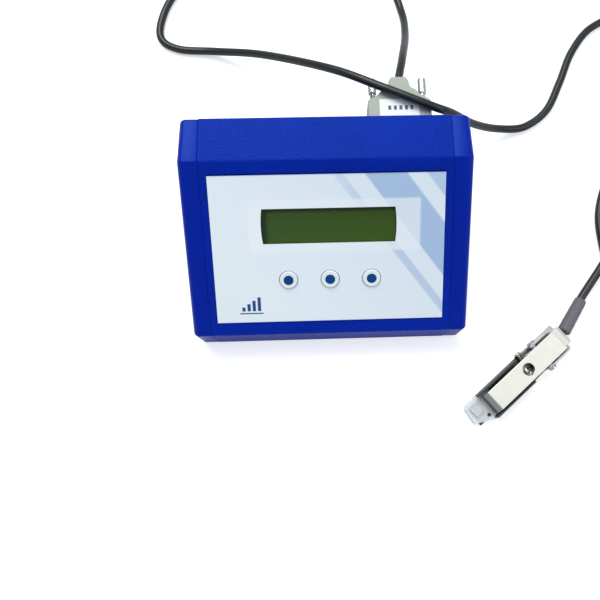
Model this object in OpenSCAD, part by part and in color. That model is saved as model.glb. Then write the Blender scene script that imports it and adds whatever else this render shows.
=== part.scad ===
// Desk console for a pinch force sensor: sloping case, display, three keys,
// nine-way plug with thumbscrews, free cable and the pinch sensor itself.
// X runs to the right, Y to the rear, Z up. The origin is the centre of the
// console's flat underside. Millimetres.

/* [Console case] */
// Width over both cheeks
console_w = 130.8; // [126:0.1:164]
// Depth of the footprint, front to rear
console_d = 90; // [84:0.5:115]
// Height of the upright front face
front_h = 20.7; // [17:0.1:30]
// Angle of the front panel from level
slope_angle = 32; // [26:0.5:34]
// Length of the front panel up the slope
slope_len = 82; // [78:0.5:84]
// Wall of the plastic shells
wall = 2.5; // [2:0.1:3]
// Thickness of each end cheek half-way along its side
cheek_t = 9.4; // [8:0.1:12]
// How far a cheek's side bows out from its ends to its middle
cheek_bow = 1.1; // [0.2:0.1:2]
// Rounding along a cheek's outer edge
cheek_round = 2.6; // [1:0.1:3]
// Height of the cover's lip over the rear wall
rear_lip = 7; // [4:0.5:12]

/* [Front panel] */
// Width of the printed overlay
overlay_w = 105; // [84:0.5:108]
// Height of the printed overlay, up the slope
overlay_h = 69; // [66:0.5:72]
// Thickness of the printed overlay
overlay_t = 0.5; // [0.3:0.1:0.8]
// Distance from the front edge to the overlay
overlay_s = 6.5; // [4:0.5:8]

/* [Display] */
// Width of the clear window at its corners
window_w = 59.5; // [49:0.5:62]
// Height of the clear window
window_h = 16; // [13:0.5:17]
// How far the window's short ends bow out
window_bow = 0.6; // [0.2:0.1:1]
// Distance from the front edge to the window's centre
window_s = 52.2; // [51:0.1:54]
// Width of the cut-out behind the overlay
cutout_w = 77.7; // [74:0.1:79]
// Height of the cut-out behind the overlay
cutout_h = 24.4; // [23:0.1:26]
// Sideways place of the cut-out's centre
cutout_x = 3; // [2:0.5:4]
// Width of the display's circuit board
board_w = 80; // [79:0.5:84]
// Height of the display's circuit board
board_h = 36; // [35.5:0.5:37]

/* [Keys] */
// Diameter of a key cap
key_d = 8.2; // [6.8:0.1:9.8]
// Distance between neighbouring keys
key_pitch = 19.05; // [16:0.05:23]
// Distance from the front edge to the keys
key_s = 27; // [25:0.5:28]
// How far a key goes down
key_travel = 0.5; // [0.3:0.1:0.5]
// How far a cap stands above the overlay
key_proud = 0.8; // [0.6:0.1:1.2]

/* [Plug] */
// Sideways place of the socket
socket_x = 36; // [30:0.5:38]
// Height of the socket's centre
socket_z = 33.5; // [28:0.5:38]
// Distance between the two thumbscrews
screw_pitch = 25; // [24.5:0.1:25.5]
// Width of the plug's hood
hood_w = 30.8; // [30:0.1:34]
// Thickness of the plug's hood
hood_t = 15; // [14:0.5:18]
// Radius of a thumbscrew's knurled head
knob_r = 2.1; // [1.8:0.1:2.6]
// Length of a thumbscrew's knurled head
knob_l = 8; // [6:0.5:10]

/* [Cable] */
// Outer diameter of the cable
cable_d = 4.2; // [3.6:0.1:4.4]
// Radius of the stored coil, to the middle of the cable
coil_r = 22; // [21:0.5:25]
// Turns in the stored coil
coil_turns = 3.5; // [1.5:1:5.5]

/* [Sensor] */
// Width over the channel's walls
channel_w = 14.4; // [13.6:0.1:17]
// Sheet thickness of the channel and the lever
sheet_t = 1; // [0.8:0.1:1.2]
// Overall height of the sensor
sensor_h = 12; // [11.6:0.1:14]
// Width of the pinch lever
lever_w = 10.4; // [10:0.1:11.4]
// Length of the lever's flat top
lever_l = 44.3; // [43:0.1:46]
// Radius of the hole through the lever
lever_hole_r = 3; // [2.4:0.1:3.4]
// Radius of the lever's pivot pin
pivot_r = 1.5; // [1.2:0.1:1.8]
// Turn of the sensor on the table, from +X
sensor_turn = 219.6; // [210:0.1:230]

/* [Hidden] */
$fn = 48;

// Clearances shared by the pieces
seam = 0.15;        // between two shells that meet
run_fit = 0.05;     // round shaft that turns or is screwed in its hole
free_gap = 0.3;     // round piece that passes a hole without touching
eps = 0.01;         // how far a cutting solid runs past a face

// Case outline worked out from the driving sizes
front_y = -console_d / 2;
rear_y = console_d / 2;
shell_w = console_w - 2 * cheek_t;
bend_y = front_y + slope_len * cos(slope_angle);
top_z = front_h + slope_len * sin(slope_angle);
lip_z = top_z - rear_lip;

// The case's side outline, moved inwards by d on every side
function outline(d) = [
    [front_y + d, d],
    [front_y + d, front_h + d * tan(slope_angle) - d / cos(slope_angle)],
    [front_y + (top_z - d - front_h + d / cos(slope_angle))
        / tan(slope_angle), top_z - d],
    [rear_y - d, top_z - d],
    [rear_y - d, d]
];

// Place in the Y-Z plane of a point s up the slope and n above its surface
function slope_yz(s, n) = [
    front_y + s * cos(slope_angle) - n * sin(slope_angle),
    front_h + s * sin(slope_angle) + n * cos(slope_angle)
];

// Depths below the slope's outer surface
bezel_top = overlay_t + 0.4;
bezel_t = 5;
display_board_top = bezel_top + bezel_t;
pcb_t = 1.6;
flange_top = wall + 0.1;
flange_t = 1;
flange_r = key_d / 2 + 1.1;
stem_r = 1.6;
stem_l = 2.1;
switch_h = 3.5;
switch_w = 6;
key_board_top = flange_top + flange_t + stem_l - 0.2 + switch_h;
window_x = 0.3;
post_inset = 2.5;
small_screw_r = 1.2;
small_head_r = 2.2;
small_head_h = 1.6;

// Battery bay and main board
battery_size = [26.5, 48.5, 17.5];
battery_pos = [10 - shell_w / 2, rear_y - 57, 1.4];
main_x0 = battery_pos[0] + battery_size[0] + 2.5;
main_x1 = shell_w / 2 - 12;
main_y0 = front_y + 9;
main_y1 = rear_y - 11;
main_z = wall + 4;
main_top = main_z + pcb_t;
main_holes = [[main_x0 + 4, main_y0 + 4], [main_x1 - 4, main_y0 + 4],
              [main_x0 + 4, main_y1 - 4], [main_x1 - 20, main_y1 - 4]];
connector_h = 8;
display_plug = [12, -6];
input_plug = [socket_x, rear_y - 21];

// Battery bay
lid_t = 1.2;
lid_margin = 2;
lid_screw_y = battery_pos[1] - 4.5;
lid_front = battery_pos[1] - 9;
lid_rear = battery_pos[1] + battery_size[1] + 4.5;
bay_gap = 0.5;

// Case screws, through the floor into lugs on the cheeks
case_screw_r = 1.5;
case_head_r = 2.8;
case_head_h = 1.4;
lug_reach = 9;
lug_y = 28;
lug_d = 10;
lug_top = 12;
screw_in = 5;
pad_r = 3.5;
pad_t = 1;
pad_x = shell_w / 2 - 4;
pad_y = console_d / 2 - 7;

// Nine-way connector
pin_pitch = 2.77;
row_pitch = 2.84;
pin_r = 0.5;
pin_hole_r = 0.62;
side_slant = 10;
flange_w = 31;
flange_h = 12.5;
nose_end = rear_y + 5;
post_l = 5.1;
post_r = 1.4;
post_af = 4.8;
plug_y = rear_y + post_l + 0.1;
hood_y = plug_y + 1.1;
hood_wall = 1.7;
hood_exit_y = rear_y + 32.5;
knob_y = rear_y + 27;
screw_hole_r = post_r + free_gap + 0.05;
label_size = [19.2, 11.3, 0.1];

// Sensor: X forwards to the tip, Y to its right, Z up, from its own origin
sensor_pos = [95, -64, 0];
channel_rear = -24;
channel_front = 26.3;
floor_t = 1.2;
wall_h = 9;
tongue_end = 34;
lever_rear = -21.7;
lever_front = lever_rear + lever_l;
lip_x = lever_front + 2.8;
lip_low = 5.7;
pivot_x = -11;
pivot_z = 7;
beam_z = 3;
beam_t = 2.2;
beam_rear = -20;
beam_front = 9;
beam_w = 7.2;
side_screw_x = -2.8;
centre_at = [-0.8, 1.2, 0];
side_screw_z = beam_z + beam_t / 2;
spring_x = 15;
spring_r = 2.3;
spring_wire = 0.6;
spring_turns = 4.5;
stud_x = 6.5;
gland_front = -22.2;
gland_rear = -27.5;
boot_from = [gland_rear - 1, -0.7, 4.6];
boot_to = [-47.5, -6, 3.3];
boot_r = [3.4, 3.1];
pad_z = floor_t + 0.1;
pad_h = 3;

// Route of the cable from the plug's hood to the coil
main_route = [
    [36.8, 62, 33.5], [36.8, 78, 33.5], [40.3, 96, 27.2],
    [44.6, 120, 11.8], [44.6, 141, 2.6], [37, 163, 2.1],
    [20, 180, 2.1], [-8, 189, 2.1], [-38, 186.5, 2.1], [-66, 174, 2.1],
    [-84, 155, 2.1], [-92, 138, 2.1], [-90.6, 125.4, 2.1],
    [-80.5, 119, 2.1], [-60, 116.2, 4], [-32.5, 106.5, 15.5],
    [3, 85, 36.5], [26.6, 71, 43.4], [50.5, 60.2, 43.6],
    [61.5, 59.6, 37], [76, 61.4, 21], [92, 65, 7.4],
    [108.5, 68.3, 2.1], [121.7, 78, 2.1], [131, 95, 2.1],
    [140, 114, 2.1], [153, 129.4, 2.1], [171, 135.5, 2.1],
    [188, 122, 2.1], [184, 94, 2.1], [164, 60, 2.1],
    [146.5, 27.5, 2.1], [143, 5, 2.1], [149, -17.5, 2.1],
    [175, -29.6, 2.1]
];
// Route of the cable from the coil to the sensor's boot
tail_route = [
    [175, 14.6, 17.2], [160, 11, 14.2], [148.5, 0, 9.2],
    [138, -14.6, 5.4], [127.8, -28.4, 3.3]
];
coil_pos = [175, -7.6, 0];
coil_rise = cable_d + 0.1;
ring_step = 12;
tube_sides = 8;

// ---------- helpers ----------

// Carries a Y-Z outline along X, from x0
module along_x(x0, length) {
    translate([x0, 0, 0]) rotate([90, 0, 90]) linear_extrude(length) children();
}

// Puts children on the front panel: X across, Y up the slope, Z out of it
module on_slope() {
    translate([0, front_y, front_h]) rotate([slope_angle, 0, 0]) children();
}

// Cylinder along +Y from y0
module along_y(x, y0, z, length, r) {
    translate([x, y0, z]) rotate([-90, 0, 0]) cylinder(h = length, r = r);
}

// Copies children at the keys' places, in the slope's frame
module at_keys() {
    for (k = [-1, 0, 1])
        translate([window_x + k * key_pitch, key_s, 0]) children();
}

// Copies children at the display board's four corners, in the slope's frame
module at_display_posts() {
    for (i = [-1, 1], j = [-1, 1])
        translate([window_x + i * (board_w / 2 - post_inset),
                   window_s + j * (board_h / 2 - post_inset), 0]) children();
}

// Copies children between neighbouring keys, in the slope's frame
module at_key_posts() {
    for (i = [-1, 1])
        translate([window_x + i * key_pitch / 2, key_s, 0]) children();
}

// Outline of the window: a rectangle whose short ends bow out, grown by g
module window_shape(g) {
    bow_r = (window_h * window_h / 4 + window_bow * window_bow) / (2 * window_bow);
    half = asin(window_h / 2 / bow_r);
    arc_x = window_w / 2 + window_bow - bow_r;
    ends = [for (i = [-6:6]) [arc_x + bow_r * cos(half * i / 6),
                              bow_r * sin(half * i / 6)]];
    points = concat(ends, [for (p = ends) -p]);
    scale([1 + 2 * g / window_w, 1 + 2 * g / window_h]) polygon(points);
}

// D-shaped outline of the connector, wide side up
module d_shape(w, h) {
    slant = h * tan(side_slant);
    polygon([[-w / 2, h / 2], [-w / 2 + slant, -h / 2],
             [w / 2 - slant, -h / 2], [w / 2, h / 2]]);
}

// D-shaped block along +Y, on the connector's axis
module d_block(y0, length, w, h) {
    translate([socket_x, y0 + length, socket_z]) rotate([90, 0, 0])
        linear_extrude(length) d_shape(w, h);
}

// Nine rods along +Y in the connector's two rows
module nine_rods(y0, length, r) {
    for (i = [0:4])
        along_y(socket_x + (i - 2) * pin_pitch, y0, socket_z + row_pitch / 2,
                length, r);
    for (i = [0:3])
        along_y(socket_x + (i - 1.5) * pin_pitch, y0, socket_z - row_pitch / 2,
                length, r);
}

// Copies children at the two thumbscrews' axes
module at_jack_screws() {
    for (i = [-1, 1])
        translate([socket_x + i * screw_pitch / 2, 0, socket_z]) children();
}

// Places children in the sensor's own frame
module on_sensor() {
    translate(sensor_pos) rotate([0, 0, sensor_turn]) children();
}

// Carries an X-Z outline across the sensor, w wide
module across_sensor(w) {
    translate([0, w / 2, 0]) rotate([90, 0, 0]) linear_extrude(w) children();
}

// Point raised, if need be, to lie on the table
function on_table(q) = [q[0], q[1], max(q[2], cable_d / 2)];

// Point at t on the smooth curve through p[i] and p[i + 1]
function smooth(p, i, t) =
    let (a = p[max(i - 1, 0)], b = p[i], c = p[i + 1],
         d = p[min(i + 2, len(p) - 1)])
    0.5 * ((2 * b) + (c - a) * t + (2 * a - 5 * b + 4 * c - d) * t * t
           + (3 * b - a - 3 * c + d) * t * t * t);

// Points of the swept cable, about ring_step apart
function samples(p) = concat(
    [for (i = [0:len(p) - 2])
        let (n = max(1, round(norm(p[i + 1] - p[i]) / ring_step)))
            for (k = [0:n - 1]) on_table(smooth(p, i, k / n))],
    [on_table(p[len(p) - 1])]);

// Round tube along the points q
module tube(q, r) {
    n = len(q);
    rings = [for (i = [0:n - 1])
        let (t = q[min(i + 1, n - 1)] - q[max(i - 1, 0)],
             u = t / norm(t),
             side = cross(u, [0, 0, 1]) / norm(cross(u, [0, 0, 1])),
             up = cross(side, u))
        for (k = [0:tube_sides - 1])
            let (a = 360 * (k + 0.5) / tube_sides)
                q[i] + r * (cos(a) * side + sin(a) * up)];
    faces = concat(
        [for (i = [0:n - 2], k = [0:tube_sides - 1])
            let (k2 = (k + 1) % tube_sides)
                [i * tube_sides + k, i * tube_sides + k2,
                 (i + 1) * tube_sides + k2, (i + 1) * tube_sides + k]],
        [[for (k = [tube_sides - 1:-1:0]) k]],
        [[for (k = [0:tube_sides - 1]) (n - 1) * tube_sides + k]]);
    polyhedron(rings, faces, convexity = 10);
}

// ---------- console case ----------

// Bent cover: front face, sloping panel, top strip and rear lip
module top_cover() {
    outer = outline(0);
    inner = outline(wall);
    profile = [outer[0], outer[1], outer[2], outer[3], [rear_y, lip_z],
               [rear_y - wall, lip_z], inner[3], inner[2], inner[1],
               [front_y + wall, 0]];
    color("mediumblue") difference() {
        union() {
            along_x(-shell_w / 2, shell_w) polygon(profile);
            on_slope() {
                at_display_posts() translate([0, 0, -display_board_top])
                    cylinder(h = display_board_top - wall + eps, r = post_inset);
                at_key_posts() translate([0, 0, -key_board_top])
                    cylinder(h = key_board_top - wall + eps, r = small_head_r);
            }
        }
        on_slope() {
            translate([-overlay_w / 2 - seam, overlay_s - seam, -overlay_t])
                cube([overlay_w + 2 * seam, overlay_h + 2 * seam, 5]);
            translate([cutout_x - cutout_w / 2, window_s - cutout_h / 2, -5])
                cube([cutout_w, cutout_h, 10]);
            at_keys() translate([0, 0, -5])
                cylinder(h = 10, r = key_d / 2 + free_gap);
            at_display_posts() translate([0, 0, -display_board_top - eps])
                cylinder(h = 4, r = small_screw_r + run_fit);
            at_key_posts() translate([0, 0, -key_board_top - eps])
                cylinder(h = 7, r = small_screw_r + run_fit);
        }
    }
}

// Floor and rear wall
module base_tray() {
    x0 = -shell_w / 2;
    bay = [battery_size[0] + 2 * bay_gap, battery_size[1] + 2 * bay_gap + 3, 10];
    color("mediumblue") difference() {
        union() {
            translate([x0, front_y + wall + seam, 0])
                cube([shell_w, console_d - wall - seam, wall]);
            translate([x0, rear_y - wall, 0])
                cube([shell_w, wall, lip_z - seam]);
            for (p = main_holes) translate([p[0], p[1], wall - eps])
                cylinder(h = main_z - wall + eps, r = 2.6);
            translate([battery_pos[0] + battery_size[0] / 2, lid_screw_y, wall - eps])
                cylinder(h = 4.5, r = 2.6);
        }
        for (p = main_holes) translate([p[0], p[1], 1])
            cylinder(h = 10, r = small_screw_r + run_fit);
        // battery bay and the recess of its lid
        translate([battery_pos[0] - bay_gap, battery_pos[1] - bay_gap, -eps])
            cube(bay);
        translate([battery_pos[0] - lid_margin - seam, lid_front - seam, -eps])
            cube([battery_size[0] + 2 * (lid_margin + seam),
                  lid_rear - lid_front + 2 * seam, lid_t + 0.1 + eps]);
        translate([battery_pos[0] + battery_size[0] / 2, lid_screw_y, -eps])
            cylinder(h = 6, r = small_screw_r + run_fit);
        // case screws
        for (i = [-1, 1], j = [-1, 1])
            translate([i * (shell_w / 2 - screw_in), j * lug_y, -eps]) {
                cylinder(h = 5, r = case_screw_r + run_fit);
                cylinder(h = case_head_h + 0.1 + eps, r = case_head_r + 0.2);
            }
        // rubber pads
        for (i = [-1, 1], j = [-1, 1])
            translate([i * pad_x, j * pad_y, -eps])
                cylinder(h = pad_t + eps, r = pad_r + 0.1);
        // socket in the rear wall
        d_block(rear_y - wall - 1, wall + 2, 17.6, 9.2);
        at_jack_screws() along_y(0, rear_y - wall - 1, 0, wall + 2,
                                 post_r + free_gap);
    }
}

// One end cheek, built outwards from x = 0 along +X
// Outline cut down to the middle part of the case's depth
module cheek_slice(inset, part) {
    intersection() {
        polygon(outline(inset));
        translate([-part * console_d / 2, -1]) square([part * console_d, top_z + 2]);
    }
}

module cheek() {
    steps = 4;
    rim = wall + seam;
    difference() {
        union() {
            hull() {
                along_x(0, eps) polygon(outline(0.4));
                along_x(0.4, eps) polygon(outline(0));
                for (part = [1, 0.7, 0.4, 0.1], i = [0:steps])
                    along_x(cheek_t - cheek_bow * part * part - cheek_round
                            + (cheek_round - eps) * sin(90 * i / steps), eps)
                        cheek_slice(cheek_round * (1 - cos(90 * i / steps)), part);
            }
            along_x(-3, 4) polygon(outline(rim));
        }
        along_x(-4, cheek_t - cheek_bow + 4 - wall) polygon(outline(rim + 1.5));
    }
    for (j = [-1, 1]) difference() {
        translate([-lug_reach, j * lug_y - lug_d / 2, rim])
            cube([lug_reach + cheek_t - wall + 0.5, lug_d, lug_top - rim]);
        translate([-screw_in, j * lug_y, 0])
            cylinder(h = lug_top - 1, r = case_screw_r + run_fit);
    }
}

module left_cheek() {
    color("blue") mirror([1, 0, 0]) translate([shell_w / 2, 0, 0]) cheek();
}

module right_cheek() {
    color("blue") translate([shell_w / 2, 0, 0]) cheek();
}

module case_screws() {
    color("gray") for (i = [-1, 1], j = [-1, 1])
        translate([i * (shell_w / 2 - screw_in), j * lug_y, 0.1]) {
            cylinder(h = lug_top - 2, r = case_screw_r);
            cylinder(h = case_head_h, r = case_head_r);
        }
}

module base_pads() {
    color("black") for (i = [-1, 1], j = [-1, 1])
        translate([i * pad_x, j * pad_y, 0])
            cylinder(h = pad_t - 0.05, r = pad_r);
}

// ---------- front panel and display ----------

// Printed plastic overlay, let into the slope
module front_overlay() {
    color("aliceblue") on_slope() difference() {
        translate([-overlay_w / 2, overlay_s, -overlay_t])
            cube([overlay_w, overlay_h, overlay_t]);
        translate([window_x, window_s, -1]) linear_extrude(2) window_shape(0.1);
        at_keys() translate([0, 0, -1]) cylinder(h = 2, r = key_d / 2 + free_gap);
    }
}

// Clear pane in the overlay
module display_window() {
    color("white", 0.3) on_slope()
        translate([window_x, window_s, -overlay_t])
            linear_extrude(overlay_t - 0.1) window_shape(0);
}

// Pressed metal frame round the display glass
module display_bezel() {
    w = window_w + 11.5;
    h = min(window_h + 7.6, cutout_h - 0.8);
    color("dimgray") on_slope() translate([window_x, window_s, 0]) difference() {
        translate([-w / 2, -h / 2, -display_board_top + 0.05])
            cube([w, h, bezel_t - 0.05]);
        translate([-w / 2 + 1, -h / 2 + 1, -display_board_top - 1])
            cube([w - 2, h - 2, bezel_t + 0.6]);
        translate([-window_w / 2 - 1.5, -window_h / 2 - 1, -5])
            cube([window_w + 3, window_h + 2, 10]);
    }
}

// Glass of the display, under the frame's lip
module display_glass() {
    w = window_w + 9;
    h = min(window_h + 5.2, cutout_h - 3.2);
    color("darkolivegreen") on_slope()
        translate([window_x - w / 2, window_s - h / 2, -bezel_top - 1.6])
            cube([w, h, 1.1]);
}

// Light block behind the glass
module display_backlight() {
    w = window_w + 9;
    h = min(window_h + 5.2, cutout_h - 3.2);
    color("yellowgreen") on_slope()
        translate([window_x - w / 2, window_s - h / 2, -display_board_top + 0.1])
            cube([w, h, bezel_t - 1.8]);
}

module display_board() {
    color("darkgreen") on_slope() difference() {
        translate([window_x - board_w / 2, window_s - board_h / 2,
                   -display_board_top - pcb_t])
            cube([board_w, board_h, pcb_t - 0.05]);
        at_display_posts() translate([0, 0, -display_board_top - 3])
            cylinder(h = 5, r = small_screw_r + 0.15);
    }
}

// Cross-head screw whose head's face is at z = 0, pointing along +Z
module small_screw(length) {
    translate([0, 0, -small_head_h]) cylinder(h = small_head_h, r = small_head_r);
    cylinder(h = length, r = small_screw_r);
}

module display_screws() {
    color("silver") on_slope() at_display_posts()
        translate([0, 0, -display_board_top - pcb_t - 0.05]) small_screw(5);
}

// ---------- keys ----------

// One key cap with its retaining flange and stem
module key_cap(k) {
    on_slope() translate([window_x + k * key_pitch, key_s, 0]) {
        translate([0, 0, -flange_top - eps])
            cylinder(h = flange_top + key_proud + eps, r = key_d / 2);
        translate([0, 0, -flange_top - flange_t])
            cylinder(h = flange_t, r = flange_r);
        translate([0, 0, -flange_top - flange_t - stem_l])
            cylinder(h = stem_l + eps, r = stem_r);
    }
}

module button_left() {
    color("white") key_cap(-1);
}

module button_middle() {
    color("white") key_cap(0);
}

module button_right() {
    color("white") key_cap(1);
}

// Three push switches, each with a well for the stem
module key_switches() {
    well = key_travel + 0.3;
    color("dimgray") on_slope() at_keys() difference() {
        translate([-switch_w / 2, -switch_w / 2, -key_board_top])
            cube([switch_w, switch_w, switch_h]);
        translate([0, 0, -key_board_top + switch_h - well])
            cylinder(h = well + 1, r = stem_r + free_gap);
    }
}

module key_board() {
    w = 2 * key_pitch + 20;
    color("darkgreen") on_slope() difference() {
        translate([window_x - w / 2, key_s - 6.5, -key_board_top - pcb_t - 0.05])
            cube([w, 13, pcb_t]);
        at_key_posts() translate([0, 0, -key_board_top - 3])
            cylinder(h = 5, r = small_screw_r + 0.15);
    }
}

module key_board_screws() {
    color("silver") on_slope() at_key_posts()
        translate([0, 0, -key_board_top - pcb_t - 0.1]) small_screw(6);
}

// ---------- electronics in the base ----------

module main_board() {
    color("darkgreen") difference() {
        translate([main_x0, main_y0, main_z + 0.05])
            cube([main_x1 - main_x0, main_y1 - main_y0, pcb_t - 0.05]);
        for (p = main_holes) translate([p[0], p[1], 0])
            cylinder(h = 20, r = small_screw_r + 0.15);
    }
}

// Processor, amplifier, regulator and capacitor
module board_chips() {
    color("black") translate([0, 0, main_top + 0.05]) {
        translate([main_x1 - 34, main_y0 + 9, 0]) cube([10, 10, 1.4]);
        translate([main_x1 - 20, 4, 0]) cube([5, 4, 1.6]);
        translate([main_x0 + 6, main_y0 + 14, 0]) cube([6.5, 6, 2.3]);
        translate([main_x0 + 8, 12, 0]) cylinder(h = 7, r = 3);
    }
}

// Two pin headers for the flat cables
module board_connectors() {
    color("dimgray") translate([0, 0, main_top + 0.05]) {
        translate([display_plug[0] - 11, display_plug[1] - 3, 0])
            cube([22, 6, connector_h]);
        translate([input_plug[0] - 7, input_plug[1] - 3, 0])
            cube([14, 6, connector_h]);
    }
}

module main_board_screws() {
    color("silver") for (p = main_holes) translate([p[0], p[1], main_top + 0.05])
        mirror([0, 0, 1]) small_screw(5);
}

// Flat cable w wide whose centre line runs through the Y-Z points p
module flat_cable(x, w, p) {
    t = 0.4;
    n = len(p);
    lines = [for (i = [0:n - 1])
        let (d = p[min(i + 1, n - 1)] - p[max(i - 1, 0)])
            [-d[1], d[0]] / norm(d) * t];
    along_x(x - w / 2, w) polygon(concat(
        [for (i = [0:n - 1]) p[i] + lines[i]],
        [for (i = [n - 1:-1:0]) p[i] - lines[i]]));
}

module display_ribbon() {
    top = slope_yz(window_s - 13, -display_board_top - pcb_t - 0.6);
    low = [display_plug[1], main_top + connector_h + 0.2];
    color("lightgray") flat_cable(display_plug[0], 20,
        [top, top + [2.5, -6], [low[0] + 1.5, (top[1] + low[1]) / 2],
         low + [0, 3], low]);
}

module input_ribbon() {
    back = [rear_y - 9.2, socket_z];
    low = [input_plug[1], main_top + connector_h + 0.2];
    color("lightgray") flat_cable(input_plug[0], 12,
        [back, back + [-4, -0.5], [(back[0] + low[0]) / 2 - 2, (back[1] + low[1]) / 2],
         low + [0, 3], low]);
}

module battery() {
    color("goldenrod") translate(battery_pos) cube(battery_size);
}

// Snap-on contact at the battery's rear end
module battery_snap() {
    color("black")
        translate([battery_pos[0] + 1.5, battery_pos[1] + battery_size[1] + 0.2,
                   battery_pos[2] + 2])
            cube([battery_size[0] - 3, 2.6, battery_size[2] - 4]);
}

module battery_lid() {
    color("mediumblue") difference() {
        translate([battery_pos[0] - lid_margin, lid_front, 0])
            cube([battery_size[0] + 2 * lid_margin, lid_rear - lid_front, lid_t]);
        translate([battery_pos[0] + battery_size[0] / 2, lid_screw_y, -1]) {
            cylinder(h = 5, r = small_screw_r + 0.15);
            cylinder(h = 1.7, r = small_head_r + 0.1);
        }
    }
}

module battery_lid_screw() {
    color("silver")
        translate([battery_pos[0] + battery_size[0] / 2, lid_screw_y, 0.1]) {
            cylinder(h = 5, r = small_screw_r);
            cylinder(h = 0.5, r = small_head_r);
        }
}

// ---------- socket and plug ----------

// Pressed metal shell of the panel socket, its flange behind the rear wall
module socket_shell() {
    y0 = rear_y - wall - 0.9;
    color("silver") difference() {
        union() {
            translate([socket_x - flange_w / 2, y0, socket_z - flange_h / 2])
                cube([flange_w, 0.8, flange_h]);
            d_block(y0, nose_end - y0, 16.3, 7.9);
        }
        d_block(y0 - 1, nose_end - y0 + 2, 15.5, 7.1);
        at_jack_screws() along_y(0, y0 - 1, 0, 3, post_r + free_gap);
    }
}

module socket_insulator() {
    y0 = rear_y - 9;
    color("black") difference() {
        d_block(y0, nose_end - 0.2 - y0, 15.3, 6.9);
        nine_rods(nose_end - 6, 7, pin_hole_r);
    }
}

// Two hexagonal posts that the thumbscrews enter, and their nuts
module jack_posts() {
    color("silver") at_jack_screws() {
        difference() {
            union() {
                translate([0, rear_y + 0.05, 0]) rotate([-90, 0, 0])
                    cylinder(h = post_l - 0.05, r = post_af / 2 / cos(30), $fn = 6);
                along_y(0, rear_y - wall - 4, 0, wall + 4.5, post_r);
            }
            along_y(0, rear_y + 0.7, 0, post_l, post_r + run_fit);
        }
        difference() {
            translate([0, rear_y - wall - 3, 0]) rotate([-90, 0, 0])
                cylinder(h = 2, r = post_af / 2 / cos(30), $fn = 6);
            along_y(0, rear_y - wall - 4, 0, 4, post_r + run_fit);
        }
    }
}

// Pressed metal shell of the plug, its flange against the posts
module plug_shell() {
    color("silver") difference() {
        union() {
            translate([socket_x - flange_w / 2 + 0.5, plug_y,
                       socket_z - flange_h / 2])
                cube([flange_w - 1, 1, flange_h]);
            d_block(rear_y + 0.6, plug_y - rear_y, 17.4, 8.9);
        }
        d_block(rear_y, 8, 16.7, 8.2);
        at_jack_screws() along_y(0, plug_y - 1, 0, 3, screw_hole_r);
    }
}

module plug_insulator() {
    color("black") difference() {
        d_block(plug_y + 0.1, 8, 16.5, 8);
        nine_rods(plug_y - 1, 12, pin_r + 0.03);
    }
}

module plug_pins() {
    color("gold") nine_rods(rear_y + 1, plug_y - rear_y + 9, pin_r);
}

// Half outline of the hood, seen from above, from its front to the cable
hood_side = [
    [hood_w / 2, hood_y], [hood_w / 2, rear_y + 20], [10.5, rear_y + 23],
    [8.4, rear_y + 25.4], [5.6, rear_y + 27.2], [4.8, rear_y + 30.7],
    [3.6, hood_exit_y]
];

// Half outline of the space inside the hood
hood_room = [
    [hood_w / 2 - hood_wall, hood_y - 1],
    [hood_w / 2 - hood_wall, rear_y + 20 - hood_wall],
    [4, rear_y + 23 - hood_wall]
];

module mirrored_outline(half) {
    translate([socket_x, 0]) polygon(concat(half,
        [for (i = [len(half) - 1:-1:0]) [-half[i][0], half[i][1]]]));
}

// One moulded half of the hood; up is 1 for the upper and -1 for the lower
module hood_half(up) {
    z0 = up > 0 ? socket_z + 0.02 : socket_z - hood_t / 2;
    room_z = up > 0 ? socket_z - 1 : socket_z - hood_t / 2 + hood_wall;
    difference() {
        translate([0, 0, z0]) linear_extrude(hood_t / 2 - 0.02)
            mirrored_outline(hood_side);
        translate([0, 0, room_z]) linear_extrude(hood_t / 2 + 1 - hood_wall)
            mirrored_outline(hood_room);
        at_jack_screws() along_y(0, hood_y - 1, 0, 30, screw_hole_r);
        along_y(socket_x + 0.8, rear_y + 20, socket_z, 20, cable_d / 2 + 0.1);
        children();
    }
    difference() {
        for (i = [-1, 1])
            translate([socket_x + i * 8.6, rear_y + 16, z0])
                cylinder(h = hood_t / 2 - 0.02, r = 2);
        children();
    }
}

// Holes for the screws that join the halves
module hood_screw_holes() {
    for (i = [-1, 1]) translate([socket_x + i * 8.6, rear_y + 16, 0]) {
        translate([0, 0, socket_z - hood_t / 2 - 1]) {
            cylinder(h = hood_t - 1.5, r = 0.9 + run_fit);
            cylinder(h = 2.6, r = 1.8);
        }
    }
}

module plug_hood_upper() {
    color("lightgray") hood_half(1) hood_screw_holes();
}

module plug_hood_lower() {
    color("lightgray") hood_half(-1) hood_screw_holes();
}

module hood_screws() {
    color("silver") for (i = [-1, 1])
        translate([socket_x + i * 8.6, rear_y + 16, socket_z - hood_t / 2 + 0.2]) {
            cylinder(h = 1.3, r = 1.6);
            cylinder(h = hood_t - 4, r = 0.9);
        }
}

// Block that grips the cable inside the hood
module cable_clamp() {
    color("gray") difference() {
        translate([socket_x - 5, rear_y + 16.5, socket_z - hood_t / 2 + hood_wall + 0.3])
            cube([10, 4, hood_t - 2 * hood_wall - 0.6]);
        along_y(socket_x + 0.8, rear_y + 16, socket_z, 5, cable_d / 2 + run_fit);
    }
}

module plug_label() {
    color("white")
        translate([socket_x - 9.8, rear_y + 9, socket_z + hood_t / 2])
            cube(label_size);
}

// Knurled thumbscrew; i is -1 for the left one and 1 for the right one
module thumbscrew(i) {
    x = socket_x + i * screw_pitch / 2;
    along_y(x, rear_y + 1, socket_z, knob_y - rear_y, post_r);
    along_y(x, knob_y, socket_z, knob_l, knob_r);
}

module thumbscrew_left() {
    color("silver") thumbscrew(-1);
}

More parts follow.
